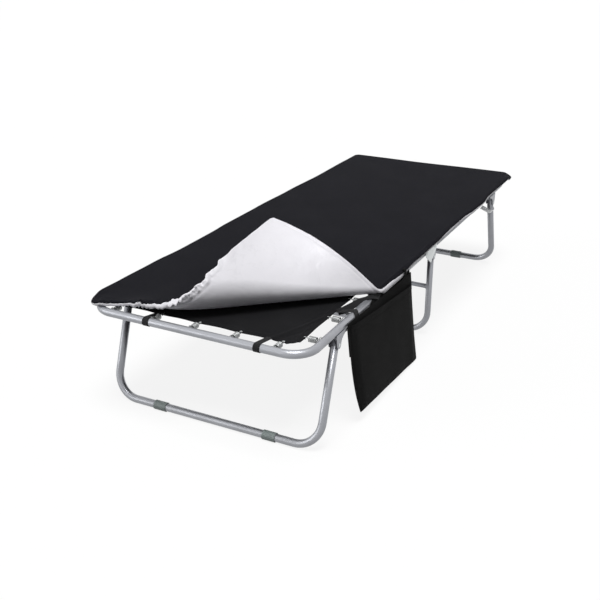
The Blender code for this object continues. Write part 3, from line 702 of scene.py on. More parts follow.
def arc(radius: float, start: float, end: float, steps: int, centre: Pair = (0.0, 0.0)) -> list[Pair]:
    """Points of an arc, its angles in degrees."""
    turns = [radians(start + (end - start) * step / steps) for step in range(steps + 1)]
    return [(centre[0] + radius * cos(turn), centre[1] + radius * sin(turn)) for turn in turns]


def bezier(a: Sequence[float], b: Sequence[float], c: Sequence[float], steps: int) -> list[tuple[float, ...]]:
    """Points of a quadratic curve from a to c, with b as its handle."""
    points = []
    for step in range(steps + 1):
        t = step / steps
        points.append(tuple((1 - t) ** 2 * p + 2 * t * (1 - t) * q + t * t * r for p, q, r in zip(a, b, c)))
    return points


def rounded_profile(points: Sequence[Pair], radius: float) -> list[Pair]:
    """A profile with its inner corners rounded."""
    rounded = [points[0]]
    for before, corner, after in zip(points, points[1:], points[2:]):
        arms = [Vector(end) - Vector(corner) for end in (before, after)]
        cut = min(radius, *(arm.length / 2 for arm in arms))
        start, end = (Vector(corner) + arm.normalized() * cut for arm in arms)
        rounded += bezier(start, corner, end, 3)
    return [*rounded, points[-1]]


def spin(profile: Sequence[Pair], sides: int = 28) -> Mesh:
    """A turned shape about Z from its (radius, height) profile, closed at the axis."""
    turns = [tau * side / sides for side in range(sides)]
    points = [(ring * cos(turn), ring * sin(turn), height) for ring, height in profile for turn in turns]
    return sealed(mesh_of(points, faces=ring_faces(len(profile), sides)), sharp=35)


def bead(ring: float, across: float, along: float, steps: int, sides: int) -> Mesh:
    """A ring about Z with an oval section of two half widths."""
    turns = [tau * step / steps for step in range(steps + 1)]
    return sealed(spin([(ring + across * cos(turn), along * sin(turn)) for turn in turns], sides))


def plate(outline: Sequence[Pair], thickness: float, holes: Sequence[Sequence[Pair]] = ()) -> Mesh:
    """A flat plate in XY, its middle at z 0, with holes."""
    curve = bpy.data.curves.new("plate", "CURVE")
    tuned(curve, dimensions="2D", fill_mode="BOTH", extrude=thickness / 2)
    for loop in (outline, *holes):
        spline = curve.splines.new("POLY")
        spline.points.add(len(loop) - 1)
        for target, point in zip(spline.points, loop):
            target.co = (*point, 0.0, 1.0)
        spline.use_cyclic_u = True
    return sealed(plain_mesh(placed("plate", curve)), smooth=False)


def hull(circles: Sequence[tuple[float, float, float]], sides: int = 32) -> list[Pair]:
    """The tight outline round several circles given as (u, v, radius)."""
    rims = [arc(radius, 0, 360 - 360 / sides, sides - 1, (u, v)) for u, v, radius in circles]
    ordered = sorted({(round(u, 7), round(v, 7)) for rim in rims for u, v in rim})

    def chain(points: Iterable[Pair]) -> list[Pair]:
        """One side of the hull."""
        kept: list[Pair] = []
        for x, y in points:
            while len(kept) > 1:
                (ax, ay), (bx, by) = kept[-2:]
                if (bx - ax) * (y - ay) - (by - ay) * (x - ax) > 1e-12:
                    break
                kept.pop()
            kept.append((x, y))
        return kept[:-1]

    return chain(ordered) + chain(reversed(ordered))


def with_cut(mesh: Mesh, flats: Sequence[Pair]) -> Mesh:
    """A mesh with the flat cloth coordinates of its points as its UV map."""
    layer = mesh.uv_layers.new(name="cut")
    for loop in mesh.loops:
        layer.data[loop.index].uv = flats[loop.vertex_index]
    return mesh


def two_sided(columns: int, rows: int, place: Callable[[int, int, int], Vector],
              cut: Callable[[int, int], Pair], hemmed: bool = False) -> Mesh:
    """A closed soft form of two grids that meet at their rims.

    Args:
        columns: Points across.
        rows: Points along.
        place: The place of a point from its column, row and side: 1 upper, -1 lower, 0 on a hem.
        cut: The flat cloth coordinates of a column and row, in metres.
        hemmed: Whether both sides meet in a hem at the first and last column and the last row.

    Returns:
        The mesh, with the flat coordinates as its UV map.
    """
    grid = [(i, j) for i in range(columns) for j in range(rows)]
    hem = {(i, j) for i, j in grid if hemmed and (i in (0, columns - 1) or j == rows - 1)}
    points = [place(i, j, 0 if (i, j) in hem else side) for side in (1, -1) for i, j in grid]
    under, faces = len(grid), []
    for at in (i * rows + j for i, j in grid if i < columns - 1 and j < rows - 1):
        faces.append((at, at + rows, at + rows + 1, at + 1))
        faces.append((under + at, under + at + 1, under + at + rows + 1, under + at + rows))
    rim = [i * rows for i in range(columns)] + [under - rows + j for j in range(1, rows)]
    rim += [i * rows + rows - 1 for i in range(columns - 2, -1, -1)] + [*range(rows - 2, 0, -1)]
    for here, after in pairwise(rim + rim[:1]):
        faces.append((here, under + here, under + after, after))
    mesh = with_cut(mesh_of(points, faces=faces), [cut(i, j) for i, j in grid] * 2)
    return sealed(mesh, merge=SOFT_MERGE, sharp=70)


def heading(path: Sequence[Vector], index: int) -> Vector:
    """The way that a path goes at one of its points."""
    return path[min(index + 1, len(path) - 1)] - path[max(index - 1, 0)]


def lengths(path: Sequence[Sequence[float]]) -> list[float]:
    """How far along a path each of its points lies."""
    return list(accumulate((dist(a, b) for a, b in pairwise(path)), initial=0.0))


def band(path: Sequence[Vector], sides: Vector | Sequence[Vector], width: float,
         thickness: float = STRAP_THICKNESS) -> Mesh:
    """A flat strap along a path.

    Args:
        path: Its middle line.
        sides: The direction across it, one for all or one for each point.
        width: Its width.
        thickness: Its thickness.

    Returns:
        The mesh, with its width and length as its UV map.
    """
    sides = [sides] * len(path) if isinstance(sides, Vector) else sides
    across = [share * width for share in STRAP_SECTION]
    normals = [heading(path, index).cross(side).normalized() for index, side in enumerate(sides)]
    run = lengths(path)

    def place(i: int, j: int, side: int) -> Vector:
        """A point of the strap."""
        lift = 0.0 if i in (0, len(across) - 1) else thickness / 2 * side
        return path[j] + sides[j] * across[i] + normals[j] * lift

    return two_sided(len(across), len(path), place, lambda i, j: (across[i], run[j]))


def tangent_angle(target: Pair, radius: float, side: int) -> float:
    """Angle, in degrees, where a line from a point touches a circle round the origin."""
    return degrees(atan2(target[1], target[0])) + side * degrees(acos(radius / hypot(*target)))


def spread(count: int, low: float, high: float, edge: float = 0.0) -> list[float]:
    """Positions from low to high, packed closer at both ends by a share of edge."""
    steps = [index / (count - 1) for index in range(count)]
    return [low + (high - low) * (t - edge * sin(tau * t) / tau) for t in steps]


def rise(low: float, high: float, value: float) -> float:
    """A soft step from 0 to 1."""
    t = min(max((value - low) / (high - low), 0.0), 1.0)
    return t * t * (3 - 2 * t)


def fall(low: float, high: float, value: float) -> float:
    """A soft step from 1 to 0."""
    return 1 - rise(low, high, value)


def hump(offset: float, width: float) -> float:
    """A soft hump, 1 at no offset."""
    return exp(-(offset / width) ** 2)


def puff(edge: float, roundness: float) -> float:
    """How full a padded layer is at a distance from its rim."""
    return sqrt(max(0.0, 1 - (1 - min(edge / roundness, 1.0)) ** 2))


def ripple(x: float, y: float, scale: float, seed: float = 0.0) -> float:
    """Smooth noise about zero."""
    return noise.noise(Vector((x * scale + 17.3, y * scale - 4.1, seed)))


def over_hinge(piece: Thing, body: Body) -> None:
    """Bakes a soft piece's placement into its mesh, leaving it on no body."""
    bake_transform(piece)


# Hard parts


def add_bevel(thing: Thing, width: float, segments: int = 2) -> None:
    """Rounds a piece's sharp edges."""
    tuned(thing.modifiers.new("edge", "BEVEL"), width=width, segments=segments, limit_method="ANGLE",
          angle_limit=radians(BEVEL_ANGLE), harden_normals=True)
    thing.data.shade_smooth()


def add_wall(thing: Thing, thickness: float = TUBE_WALL) -> None:
    """Gives a skin its wall, inwards."""
    tuned(thing.modifiers.new("wall", "SOLIDIFY"), thickness=thickness, offset=-1.0)


def rivet(inner: float, outer: float, place: Sequence[float]) -> Mesh:
    """A pin along X with a domed head at each end, its two seats given from its place."""
    low, high = sorted((inner, outer))
    profile = [(r, high + h) for r, h in RIVET_DOME] + [(RIVET_STEM, high), (RIVET_STEM, low)]
    profile += [(r, low - h) for r, h in reversed(RIVET_DOME)]
    return moved(spin(profile, 24), place)


@dataclass
class Frame:
    """The two half frames, their plugs and the hinge plates."""

    shop: Workshop
    plate_offset: float = 0.0138
    plate_thickness: float = 0.0025
    plate_circles: tuple = ((-LINK_PIN_Y, 0, 0.0145), (LINK_PIN_Y, 0, 0.0145), (0, -0.037, 0.009))
    plate_edge: float = 0.0006
    plug_dome: float = 0.0022
    plug_depth: float = 0.014
    plug_wall: float = 0.0016

    def build(self) -> None:
        """Builds the frame."""
        for word, end, body in HALVES:
            self.half(word, end, body)
            for hand, side in HANDS:
                self.plug(word, hand, side, end, body)
                self.hinge_pin(word, hand, side, end)
        for hand, side in HANDS:
            self.hinge_plate(hand, side)

    def half(self, word: str, end: int, body: Body) -> None:
        """One U of tube with its open ends at the hinge."""
        corners = [(-SIDE_X, TUBE_END_Y), (-SIDE_X, END_Y), (SIDE_X, END_Y), (SIDE_X, TUBE_END_Y)]
        path = [Vector((x, y * end, FRAME_Z)) for x, y in corners]
        mesh = self.shop.tube(path, TUBE_RADIUS, FRAME_CORNER)
        add_wall(self.shop.stand_in(f"{word}_frame_tube", "skin", mesh, "coat", body))

    def plug(self, word: str, hand: str, side: int, end: int, body: Body) -> None:
        """The plastic plug in one open tube end."""
        rim, stem = TUBE_RADIUS, TUBE_RADIUS - self.plug_wall
        profile = rounded_profile([(0, self.plug_dome), (rim - 0.0004, self.plug_dome - 0.0006), (rim, 0.0),
                                   (stem, 0.0), (stem, -self.plug_depth), (0, -self.plug_depth)], 0.0006)
        turn = Matrix.Rotation(end * pi / 2, 4, "X")
        mesh = moved(spin(profile), (side * SIDE_X, TUBE_END_Y * end, FRAME_Z), turn)
        self.shop.piece(f"{word}_plug_{hand}", sealed(mesh, sharp=40), "plug", body,
                        [f"{word}_tube_plug_{hand}"])

    def hinge_plate(self, hand: str, side: int) -> None:
        """The zinc plate that joins the two halves on one side."""
        x = side * (SIDE_X + self.plate_offset + self.plate_thickness / 2)
        mesh = moved(plate(hull(self.plate_circles), self.plate_thickness), (x, 0, FRAME_Z))
        piece = self.shop.stand_in(f"hinge_plate_{hand}", "skin", mesh, "zinc", Body.LINKS)
        add_bevel(piece, self.plate_edge)

    def hinge_pin(self, word: str, hand: str, side: int, end: int) -> None:
        """One riveted pin of the hinge."""
        inner = -side * (TUBE_RADIUS + GAP)
        outer = side * (self.plate_offset + self.plate_thickness + GAP)
        mesh = rivet(inner, outer, (side * SIDE_X, end * LINK_PIN_Y, FRAME_Z))
        self.shop.piece(f"{word}_hinge_rivet_{hand}", mesh, "zinc", Body.LINKS, [f"{word}_hinge_pin_{hand}"])


@dataclass(frozen=True)
class Leg:
    """One leg: where it hangs and stands, and its bracket about the pin."""

    name: str
    body: Body
    carrier: Body
    radius: float
    pin_y: float
    foot_y: float
    foot_z: float
    ear: Sequence[Pair]
    web: Pair


@dataclass
class Legs:
    """The three U-shaped legs with their sleeves, brackets and pins."""

    shop: Workshop
    sleeve_shift: float = 0.006
    sleeve_length: float = 0.043
    sleeve_wall: float = 0.0025
    sleeve_edge: float = 0.0011
    bracket_edge: float = 0.0005
    ear_thickness: float = 0.0022
    ear_reach: float = 0.060
    ear_round: float = 0.0125
    ear_top: float = 0.034
    ear_back: float = 0.0165
    centre_ear: tuple = ((-0.010, 0.0211, 0.004), (0.010, 0.0211, 0.004), (0, 0, 0.0115))
    web_top: float = 0.3372
    web_reach: Pair = (0.014, 0.054)
    centre_web: Pair = (-0.013, 0.013)
    crossbar_z: float = 0.193
    crossbar_radius: float = 0.008

    def build(self) -> None:
        """Builds all legs."""
        back, ahead = self.web_reach
        for leg in (
            Leg("near_leg", Body.NEAR_LEG, Body.NEAR, TUBE_RADIUS, -END_PIN_Y, -END_FOOT_Y, FOOT_Z,
                self.end_ear(1), (-back, ahead)),
            Leg("far_leg", Body.FAR_LEG, Body.FAR, TUBE_RADIUS, END_PIN_Y, END_FOOT_Y, FOOT_Z,
                self.end_ear(-1), (-ahead, back)),
            Leg("centre_leg", Body.CENTRE_LEG, Body.FAR, CENTRE_RADIUS, CENTRE_PIN_Y, CENTRE_PIN_Y,
                CENTRE_FOOT_Z, hull(self.centre_ear), self.centre_web),
        ):
            self.tube(leg)
            for hand, side in HANDS:
                self.bracket(leg, hand, side)
                self.sleeve(leg, hand, side)
        self.crossbar()

    def tube(self, leg: Leg) -> None:
        """One U of tube hung from its pins."""
        drop, lean = PIN_Z - leg.foot_z, leg.foot_y - leg.pin_y
        low = -hypot(lean, drop)
        turn = Matrix.Translation((0, leg.pin_y, PIN_Z)) @ Matrix.Rotation(atan2(lean, drop), 4, "X")
        corners = [(-SIDE_X, LEG_TOP), (-SIDE_X, low), (SIDE_X, low), (SIDE_X, LEG_TOP)]
        mesh = self.shop.tube([turn @ Vector((x, 0, z)) for x, z in corners], leg.radius, LEG_CORNER)
        add_wall(self.shop.stand_in(leg.name, "skin", mesh, "coat", leg.body))

    def end_ear(self, direction: int) -> list[Pair]:
        """The ear of an end leg's bracket, which spreads towards the bed's middle as it rises."""
        top = self.ear_top
        slope = bezier((self.ear_reach, top - 0.004), (self.ear_back, top - 0.012), (self.ear_round, 0.0), 10)
        points = [(-self.ear_back, top), (self.ear_reach, top), *slope, *arc(self.ear_round, -12, -180, 14)]
        return [(u * direction, v) for u, v in points]

    def bracket(self, leg: Leg, hand: str, side: int) -> None:
        """A folded steel bracket of two ears and a web, with its rivet."""
        x, inner, thick = side * SIDE_X, leg.radius + GAP, self.ear_thickness
        ears = [moved(plate(leg.ear, thick), (x + out * (inner + thick / 2), leg.pin_y, PIN_Z))
                for out in (-1, 1)]
        reach, (back, ahead) = inner + thick * 0.55, leg.web
        web = plate([(-reach, back), (reach, back), (reach, ahead), (-reach, ahead)], thick)
        mesh = joined([*ears, moved(web, (x, leg.pin_y, self.web_top - thick / 2), Matrix())])
        bracket = self.shop.stand_in(f"{leg.name}_bracket_{hand}", "skin", mesh, "coat", leg.carrier)
        add_bevel(bracket, self.bracket_edge)
        seat = inner + thick + GAP
        mesh = rivet(-seat, seat, (x, leg.pin_y, PIN_Z))
        self.shop.stand_in(f"{leg.name}_pin_{hand}", "rivet", mesh, "zinc", leg.carrier)

    def sleeve(self, leg: Leg, hand: str, side: int) -> None:
        """A moulded sleeve round a leg's bottom bar, flat where it stands."""
        outer = leg.radius + self.sleeve_wall
        flat = degrees(asin(leg.foot_z / outer))
        bore = arc(leg.radius + 0.0001, 0, 350, 35)
        mesh = moved(plate(arc(outer, -flat, 180 + flat, 40), self.sleeve_length, [bore]),
                     (side * SLEEVE_X + self.sleeve_shift, leg.foot_y, leg.foot_z))
        sleeve = self.shop.stand_in(f"{leg.name}_sleeve_{hand}", "skin", mesh, "sleeve", leg.body)
        add_bevel(sleeve, self.sleeve_edge, 3)

    def crossbar(self) -> None:
        """The welded bar between the centre leg's sides, with its weld beads."""
        edge = SIDE_X - CENTRE_RADIUS
        path = [Vector((side * (edge + 0.002), CENTRE_PIN_Y, self.crossbar_z)) for side in (-1, 1)]
        mesh = self.shop.tube(path, self.crossbar_radius, 0.001, 28, 2)
        add_wall(self.shop.stand_in("centre_leg_crossbar", "skin", mesh, "coat", Body.CENTRE_LEG))
        for hand, side in HANDS:
            weld = moved(bead(self.crossbar_radius - 0.0002, 0.0019, 0.0022, 10, 30),
                         (side * (edge - 0.0004), CENTRE_PIN_Y, self.crossbar_z))
            self.shop.piece(f"crossbar_weld_{hand}", weld, "coat", Body.CENTRE_LEG)


# The sleeping surface


@dataclass
class BedCloth:
    """The cloth in the frame: two halves that meet at the hinge."""

    shop: Workshop
    columns: int = 101
    rows: int = 121
    hem_width: float = 0.022
    sag: float = 0.0025
    draw: float = 0.0035
    bend: float = 0.077
    seam_lift: float = 0.0012
    creases: tuple = ((Vector((0.222, -0.880)), Vector((0.304, -0.650)), 0.0030),
                      (Vector((0.236, -0.876)), Vector((0.300, -0.760)), -0.0015))

    def build(self) -> None:
        """Builds both halves with their seams."""
        xs = spread(80, -CLOTH_HALF, CLOTH_HALF)
        area = sum(self.end_line(x) for x in xs) / len(xs) * 2 * CLOTH_HALF
        for word, end, body in HALVES:
            nodes = [f"{word}_bed_cloth"] + (["bed_cloth_hinge_strip"] if end > 0 else [])
            sheet = self.shop.piece(f"{word}_bed_cloth_sheet", self.half(end), "cloth", None, nodes)
            seam = self.shop.seam(self.seams(end))
            thread = self.shop.piece(f"{word}_bed_cloth_seam", seam, "thread", None)
            for piece in (sheet, thread):
                over_hinge(piece, body)

    @staticmethod
    def beat(y: float) -> float:
        """A wave along the sides, 1 at each spring."""
        return cos(tau * ((abs(y) - SIDE_SPRING_FIRST) / SIDE_SPRING_PITCH))

    def edge(self, y: float) -> float:
        """Half width of the cloth at a distance from the hinge: it draws in between springs."""
        return CLOTH_HALF - self.draw * (1 - self.beat(y)) / 2

    def end_line(self, x: float) -> float:
        """How far the cloth reaches at a place across: its two outer corners are cut off."""
        past = abs(x) - 0.262
        cut = 0.020 * (past / 0.045) ** 2 + 0.0016 * (1 - cos(tau * past / 0.0155)) if past > 0 else 0.0
        cut -= 0.0055 * hump(past - 0.018, 0.011)
        return CLOTH_END - cut - self.draw * rise(0.0, 0.065, min(abs(x - spring) for spring in END_SPRING_X))

    def height(self, x: float, y: float) -> float:
        """Sag and puckers of the cloth."""
        edge = min(CLOTH_HALF - abs(x), CLOTH_END - abs(y))
        pucker = 0.0009 * self.beat(y) * exp(-max(edge, 0) / 0.035)
        deep = (1 - (x / CLOTH_HALF) ** 2) * (1 - (y / CLOTH_END) ** 2)
        soft = 0.0008 * ripple(x, y, 7.0) * rise(0.0, 0.06, edge)
        crease = 0.0
        for start, end, high in self.creases:
            line, offset = end - start, Vector((x, y)) - start
            along = offset.dot(line) / line.length_squared
            if -0.1 < along < 1.1:
                ends = rise(-0.1, 0.1, along) * rise(-0.1, 0.2, 1 - along)
                crease += high * hump((offset - line * along).length, 0.007) * ends
        return FRAME_Z + pucker + soft + crease - self.sag * max(deep, 0.0)

    def half(self, end: int) -> Mesh:
        """The closed sheet of one half, thicker where its hem is turned in."""
        flats = []
        for u in spread(self.columns, -1.0, 1.0, 0.55):
            reach = self.end_line(u * CLOTH_HALF)
            ys = [v * reach for v in spread(2 * self.rows - 1, -1.0, 1.0, 0.5)[self.rows - 1:]]
            flats.append([(u * self.edge(y), end * y) for y in ys])

        def place(i: int, j: int, side: int) -> Vector:
            """A point on the sheet's upper or lower face."""
            x, y = flats[i][j]
            edge = min(CLOTH_HALF - abs(x), CLOTH_END - abs(y))
            thick = 0.0005 + 0.0007 * fall(self.hem_width - 0.003, self.hem_width + 0.002, edge)
            return Vector((x, y, self.height(x, y) + side * thick))

        return two_sided(self.columns, self.rows, place, lambda i, j: flats[i][j], hemmed=True)

    def seams(self, end: int) -> list[list[Vector]]:
        """The hem's seams along both sides and the end."""
        ys = [0.003 + (CLOTH_END - 0.040) * index / 59 for index in range(60)]
        xs = [-0.268 + 0.536 * index / 49 for index in range(50)]
        lines = [[(side * (self.edge(y) - self.hem_width), y) for y in ys] for side in (-1, 1)]
        lines.append([(x, self.end_line(x) - self.hem_width) for x in xs])
        return [[Vector((x, end * y, self.height(x, y) + self.seam_lift)) for x, y in line] for line in lines]


@dataclass
class Springs:
    """Coil springs between the cloth and the tubes, with their eyelets and painted-shade discs at the holes.
    """

    shop: Workshop
    coil_radius: float = 0.0080
    hook_radius: float = 0.0035
    wire: float = 0.0015
    turns: float = 8.0
    barrel: float = 0.0270
    steps: int = 12
    bite: float = 0.007
    hole_in: float = 0.0062
    hole_up: float = 0.0109
    hole_tilt: float = 0.5
    # Profile of the dark disc that paints the shade inside a hole.
    hole_shade_disc: tuple = ((0.0, 0.0003), (0.0022, 0.0004), (0.0028, 0.0), (0.0022, -0.0008), (0.0, -0.0008))

    def build(self) -> None:
        """Builds one row of springs for each half."""
        for word, end, body in HALVES:
            ends, sides, holes = [], [], []
            hole_z, tilt = FRAME_Z + self.hole_up, self.hole_tilt
            for x in END_SPRING_X:
                ends.append((Vector((x, end * (CLOTH_END - self.bite), FRAME_Z)), (0, 0, end * pi / 2)))
                holes.append((Vector((x, end * (END_Y - self.hole_in), hole_z)), (-end * tilt, 0, 0)))
            for side in (-1, 1):
                for index in range(SIDE_SPRING_COUNT):
                    y = end * (SIDE_SPRING_FIRST - index * SIDE_SPRING_PITCH)
                    turn = 0.0 if side > 0 else pi
                    sides.append((Vector((side * (CLOTH_HALF - self.bite), y, FRAME_Z)), (0, 0, turn)))
                    holes.append((Vector((side * (SIDE_X - self.hole_in), y, hole_z)), (0, -side * tilt, 0)))
            eyelets = [(place, (0, 0, 0)) for place, _ in ends + sides]
            rows = [self.shop.row(self.spring(END_Y - self.hole_in - CLOTH_END + self.bite), ends),
                    self.shop.row(self.spring(SIDE_X - self.hole_in - CLOTH_HALF + self.bite), sides)]
            nodes = [f"{word}_left_springs", f"{word}_right_springs"]
            nodes += [f"near_end_spring_{n}" for n in range(1, 6)] if end < 0 else ["far_end_springs"]
            self.shop.piece(f"{word}_springs", joined(rows), "spring", body, nodes)
            ring = self.shop.row(bead(0.0034, 0.0011, 0.0017, 8, 20), eyelets)
            self.shop.piece(f"{word}_eyelets", ring, "zinc", body)
            # Painted shade: a flat dark disc of black plastic on the tube stands for the shade inside each
            # hole.
            bore = self.shop.row(spin(self.hole_shade_disc, 14), holes)
            self.shop.piece(f"{word}_spring_holes", bore, "plug", body)

    def spring(self, reach: float) -> Mesh:
        """A coil spring from an eyelet at the origin to a hole in the tube, along X.

        Args:
            reach: From the eyelet to the hole.

        Returns:
            The spring's mesh.
        """
        low = reach / 2 - self.barrel / 2 + 0.001
        hook, up = self.hook_radius, self.hole_up
        turns = [radians(-110 + 22 * k) for k in range(10)]
        path = [(hook - hook * cos(turn), 0.0, hook * sin(turn)) for turn in turns]
        path.append((low - 0.003, 0.0, 0.001))
        count = int(self.turns * self.steps)
        for k in range(count + 1):
            t = k / count
            angle = tau * self.turns * t
            radius = self.coil_radius * min(1.0, 0.35 + min(t, 1 - t) * self.turns * 1.1)
            path.append((low + self.barrel * t, radius * sin(angle), radius * cos(angle)))
        path += [(low + self.barrel + 0.002, 0.0, 0.001), (reach - 0.0085, 0.0, up * 0.45),
                 (reach - 0.0050, 0.0, up + 0.0008), (reach - 0.0018, 0.0, up + 0.0022),
                 (reach, 0.0, up + 0.0008), (reach + 0.0004, 0.0, up - 0.0025)]
        return self.shop.tube([Vector(point) for point in path], self.wire, 0.0, 6, 1)


@dataclass
class EndStraps:
    """Webbing straps from the cloth round the end tubes."""

    shop: Workshop
    width: float = 0.0215
    tail: Pair = (END_Y - CLOTH_END + 0.012, 0.001)
    wrapped: float = 300.0

    def build(self) -> None:
        """Builds the four straps."""
        start = tangent_angle(self.tail, STRAP_RADIUS, 1)
        flat = [self.tail, *arc(STRAP_RADIUS, start, start + self.wrapped, 40)]
        for word, end, body in HALVES:
            for (hand, _), x in zip(HANDS, END_STRAP_X):
                path = [Vector((x, end * (END_Y - u), FRAME_Z + v)) for u, v in flat]
                mesh = band(path, Vector((1, 0, 0)), self.width)
                self.shop.stand_in(f"{word}_end_strap_{hand}", "web", mesh, "black_web", body)


@dataclass
class Pad:
    """The sleeping pad: a silvery lining below, a brushed cloth above."""

    shop: Workshop
    columns: int = 75
    near_columns: int = 210
    rows: int = 84
    bend: float = 0.09
    lining_top: float = 0.0120
    lining_round: float = 0.0055
    cover_low: float = 0.0055
    cover_top: float = 0.0162
    cover_round: float = 0.0110
    inset: float = 0.0008
    fold_start: Vector = field(default_factory=lambda: Vector((-0.1760, PAD_NEAR)))
    fold_end: Vector = field(default_factory=lambda: Vector((PAD_RIGHT, -0.4527)))
    lift_height: float = 0.0258
    lift_x: float = -0.1589
    lift_width: float = 0.0908
    lift_depth: float = 0.080
    left_edge: tuple = ((-0.97, -0.373), (-0.86, -0.385), (-0.77, -0.381), (-0.61, -0.375), (-0.44, -0.366),
                        (-0.25, -0.363), (-0.16, -0.366), (0.06, -0.362), (0.30, -0.355), (0.57, -0.344),
                        (0.99, -0.341))

    def build(self) -> None:
        """Builds the two flat parts in two layers each."""
        for word, end, body in HALVES:
            nodes = [f"{word}_pad"] + (["pad_hinge_strip"] if end > 0 else [])
            lining = self.shop.piece(f"{word}_pad_lining", self.layer(end, False), "lining", None)
            cover = self.shop.piece(f"{word}_pad_top", self.layer(end, True), "top", None, nodes)
            for piece in (lining, cover):
                over_hinge(piece, body)

    def sagging(self, x: float, y: float) -> float:
        """How much the right edge hangs over the tube beside the rolled corner."""
        return rise(0.374, 0.387, x) * rise(-0.50, -0.42, y) * fall(-0.30, -0.22, y)

    def hem(self, x: float, y: float) -> float:
        """How far the lining's gathered hem hangs below the pad at the roll."""
        there = 0.45 * rise(-0.240, -0.190, x) + 0.55 * rise(-0.115, -0.075, x)
        pleat = 0.50 + 1.7 * abs(ripple(x + 0.3 * (y - PAD_NEAR), 0.0, 46.0, 9.0))
        return 0.014 * there * pleat * fall(-0.066, -0.034, x) * fall(0.004, 0.018, y - PAD_NEAR)

    def heights(self, cover: bool, x: float, y: float) -> Pair:
        """Lowest and highest face of a layer in the pad; the cover wraps lower on the left."""
        if not cover:
            return -0.007 * self.sagging(x, y) - self.hem(x, y), self.lining_top
        return self.cover_low - 0.0040 * fall(-0.36, -0.30, x), self.cover_top

    def left(self, y: float) -> float:
        """The pad's left edge, a little lumpy."""
        for (low, low_x), (high, high_x) in pairwise(self.left_edge):
            if y <= high:
                return low_x + (high_x - low_x) * rise(low, high, y)
        return self.left_edge[-1][1]

    def right(self, y: float) -> float:
        """The pad's right edge."""
        wander = 0.0018 * ripple(1.0, y, 5.0, 5.0) * rise(-0.44, -0.3, y)
        loose = 0.009 * rise(0.30, 0.42, y) * fall(0.54, 0.63, y)
        return PAD_RIGHT + wander + loose + 0.003 * rise(0.55, 0.90, y) - 0.006 * rise(0.925, 0.975, y)

    def scallop(self, x: float) -> float:
        """How far the hem's gathers push the edge of the rolled corner out, by flat place across."""
        turn = (x - 0.072) / 0.056 % 1.0
        wave = 1 - 2 * rise(0.0, 0.72, turn) + 2 * rise(0.72, 1.0, turn)
        return 0.0046 * wave * rise(-0.01, 0.05, x) * (1 - 0.8 * rise(0.125, 0.185, x)) * fall(0.20, 0.26, x)

    def insets(self, y: float, end: int, cover: bool) -> tuple[float, float, float]:
        """How far a layer stands inside the outline at the left, the right and the end."""
        if not cover:
            return 0.0, 0.0, 0.0
        right = -0.0015 + 0.0060 * fall(-0.42, -0.20, y) + 0.0016 * ripple(2.0, y, 14.0, 6.0)
        right += 0.0030 * rise(0.02, 0.12, y) * fall(0.42, 0.55, y) - 0.0012 * rise(0.5, 0.7, y)
        return -0.001, right, (-0.001 if end > 0 else self.inset)

    def limits(self, x: float, y: float, end: int, cover: bool) -> tuple[float, float, float, float]:
        """How the outline lies about a place.

        Args:
            x: The place across.
            y: The place along.
            end: -1 for the near part, 1 for the far part.
            cover: Whether the layer is the brushed cover.

        Returns:
            The distances to the side of a rounded corner and to the right edge, the reach from the hinge
            and the corner's radius.
        """
        left_in, right_in, end_in = self.insets(y, end, cover)
        left, right = x - self.left(y) - left_in, self.right(y) - right_in - x
        if end > 0:
            reach = PAD_FAR + 0.022 * rise(-0.1, 0.36, x) - end_in
            return min(left, right), right, reach, 0.024 if x < 0 else 0.012
        return left, right, -PAD_NEAR + 0.013 * fall(-0.34, -0.25, x) - end_in, 0.034

    def end_line(self, x: float, y: float, end: int, cover: bool) -> float:
        """Where a column of the pad ends, from the hinge."""
        beside, _, reach, radius = self.limits(x, y, end, cover)
        into = radius - beside
        if into > 0:
            reach -= radius - sqrt(max(radius ** 2 - min(into, radius) ** 2, 0.0))
        if end < 0 and x > self.fold_start.x:
            slope = (self.fold_end.y - self.fold_start.y) / (self.fold_end.x - self.fold_start.x)
            reach = min(reach, -(self.fold_start.y + (x - self.fold_start.x) * slope))
        return reach

    def edge(self, x: float, y: float, end: int, cover: bool) -> float:
        """Distance from the layer's outline, inwards."""
        beside, right, reach, radius = self.limits(x, y, end, cover)
        ahead = reach - abs(y)
        near = min(beside, ahead, right)
        if beside < radius and ahead < radius:
            near = min(radius - hypot(radius - beside, radius - ahead), right)
        if end < 0:
            along = (self.fold_end - self.fold_start).normalized()
            near = min(near, -(Vector((x, y)) - self.fold_start).dot(Vector((along.y, -along.x))))
        return max(near, 0.0)

    def lift(self, x: float, y: float) -> float:
        """How far the roll draws the near edge up off the bed, by flat place."""
        fade = exp(-max(y - PAD_NEAR, 0.0) / self.lift_depth)
        return self.lift_height * hump(x - self.lift_x, self.lift_width) * fade

    def lie(self, x: float, y: float) -> float:
        """How the pad's whole thickness rises and falls."""
        wave = 0.0014 * ripple(x, y, 4.0, 1.0) * rise(0.0, 0.10, abs(y))
        droop = -0.016 * rise(0.350, 0.395, x) * rise(0.90, 0.972, y) - 0.003 * self.sagging(x, y)
        droop -= 0.010 * fall(-0.386, -0.315, x) * fall(PAD_NEAR, -0.86, y)
        return wave + droop + (self.lift(x, y) if y < -0.4 else 0.0)

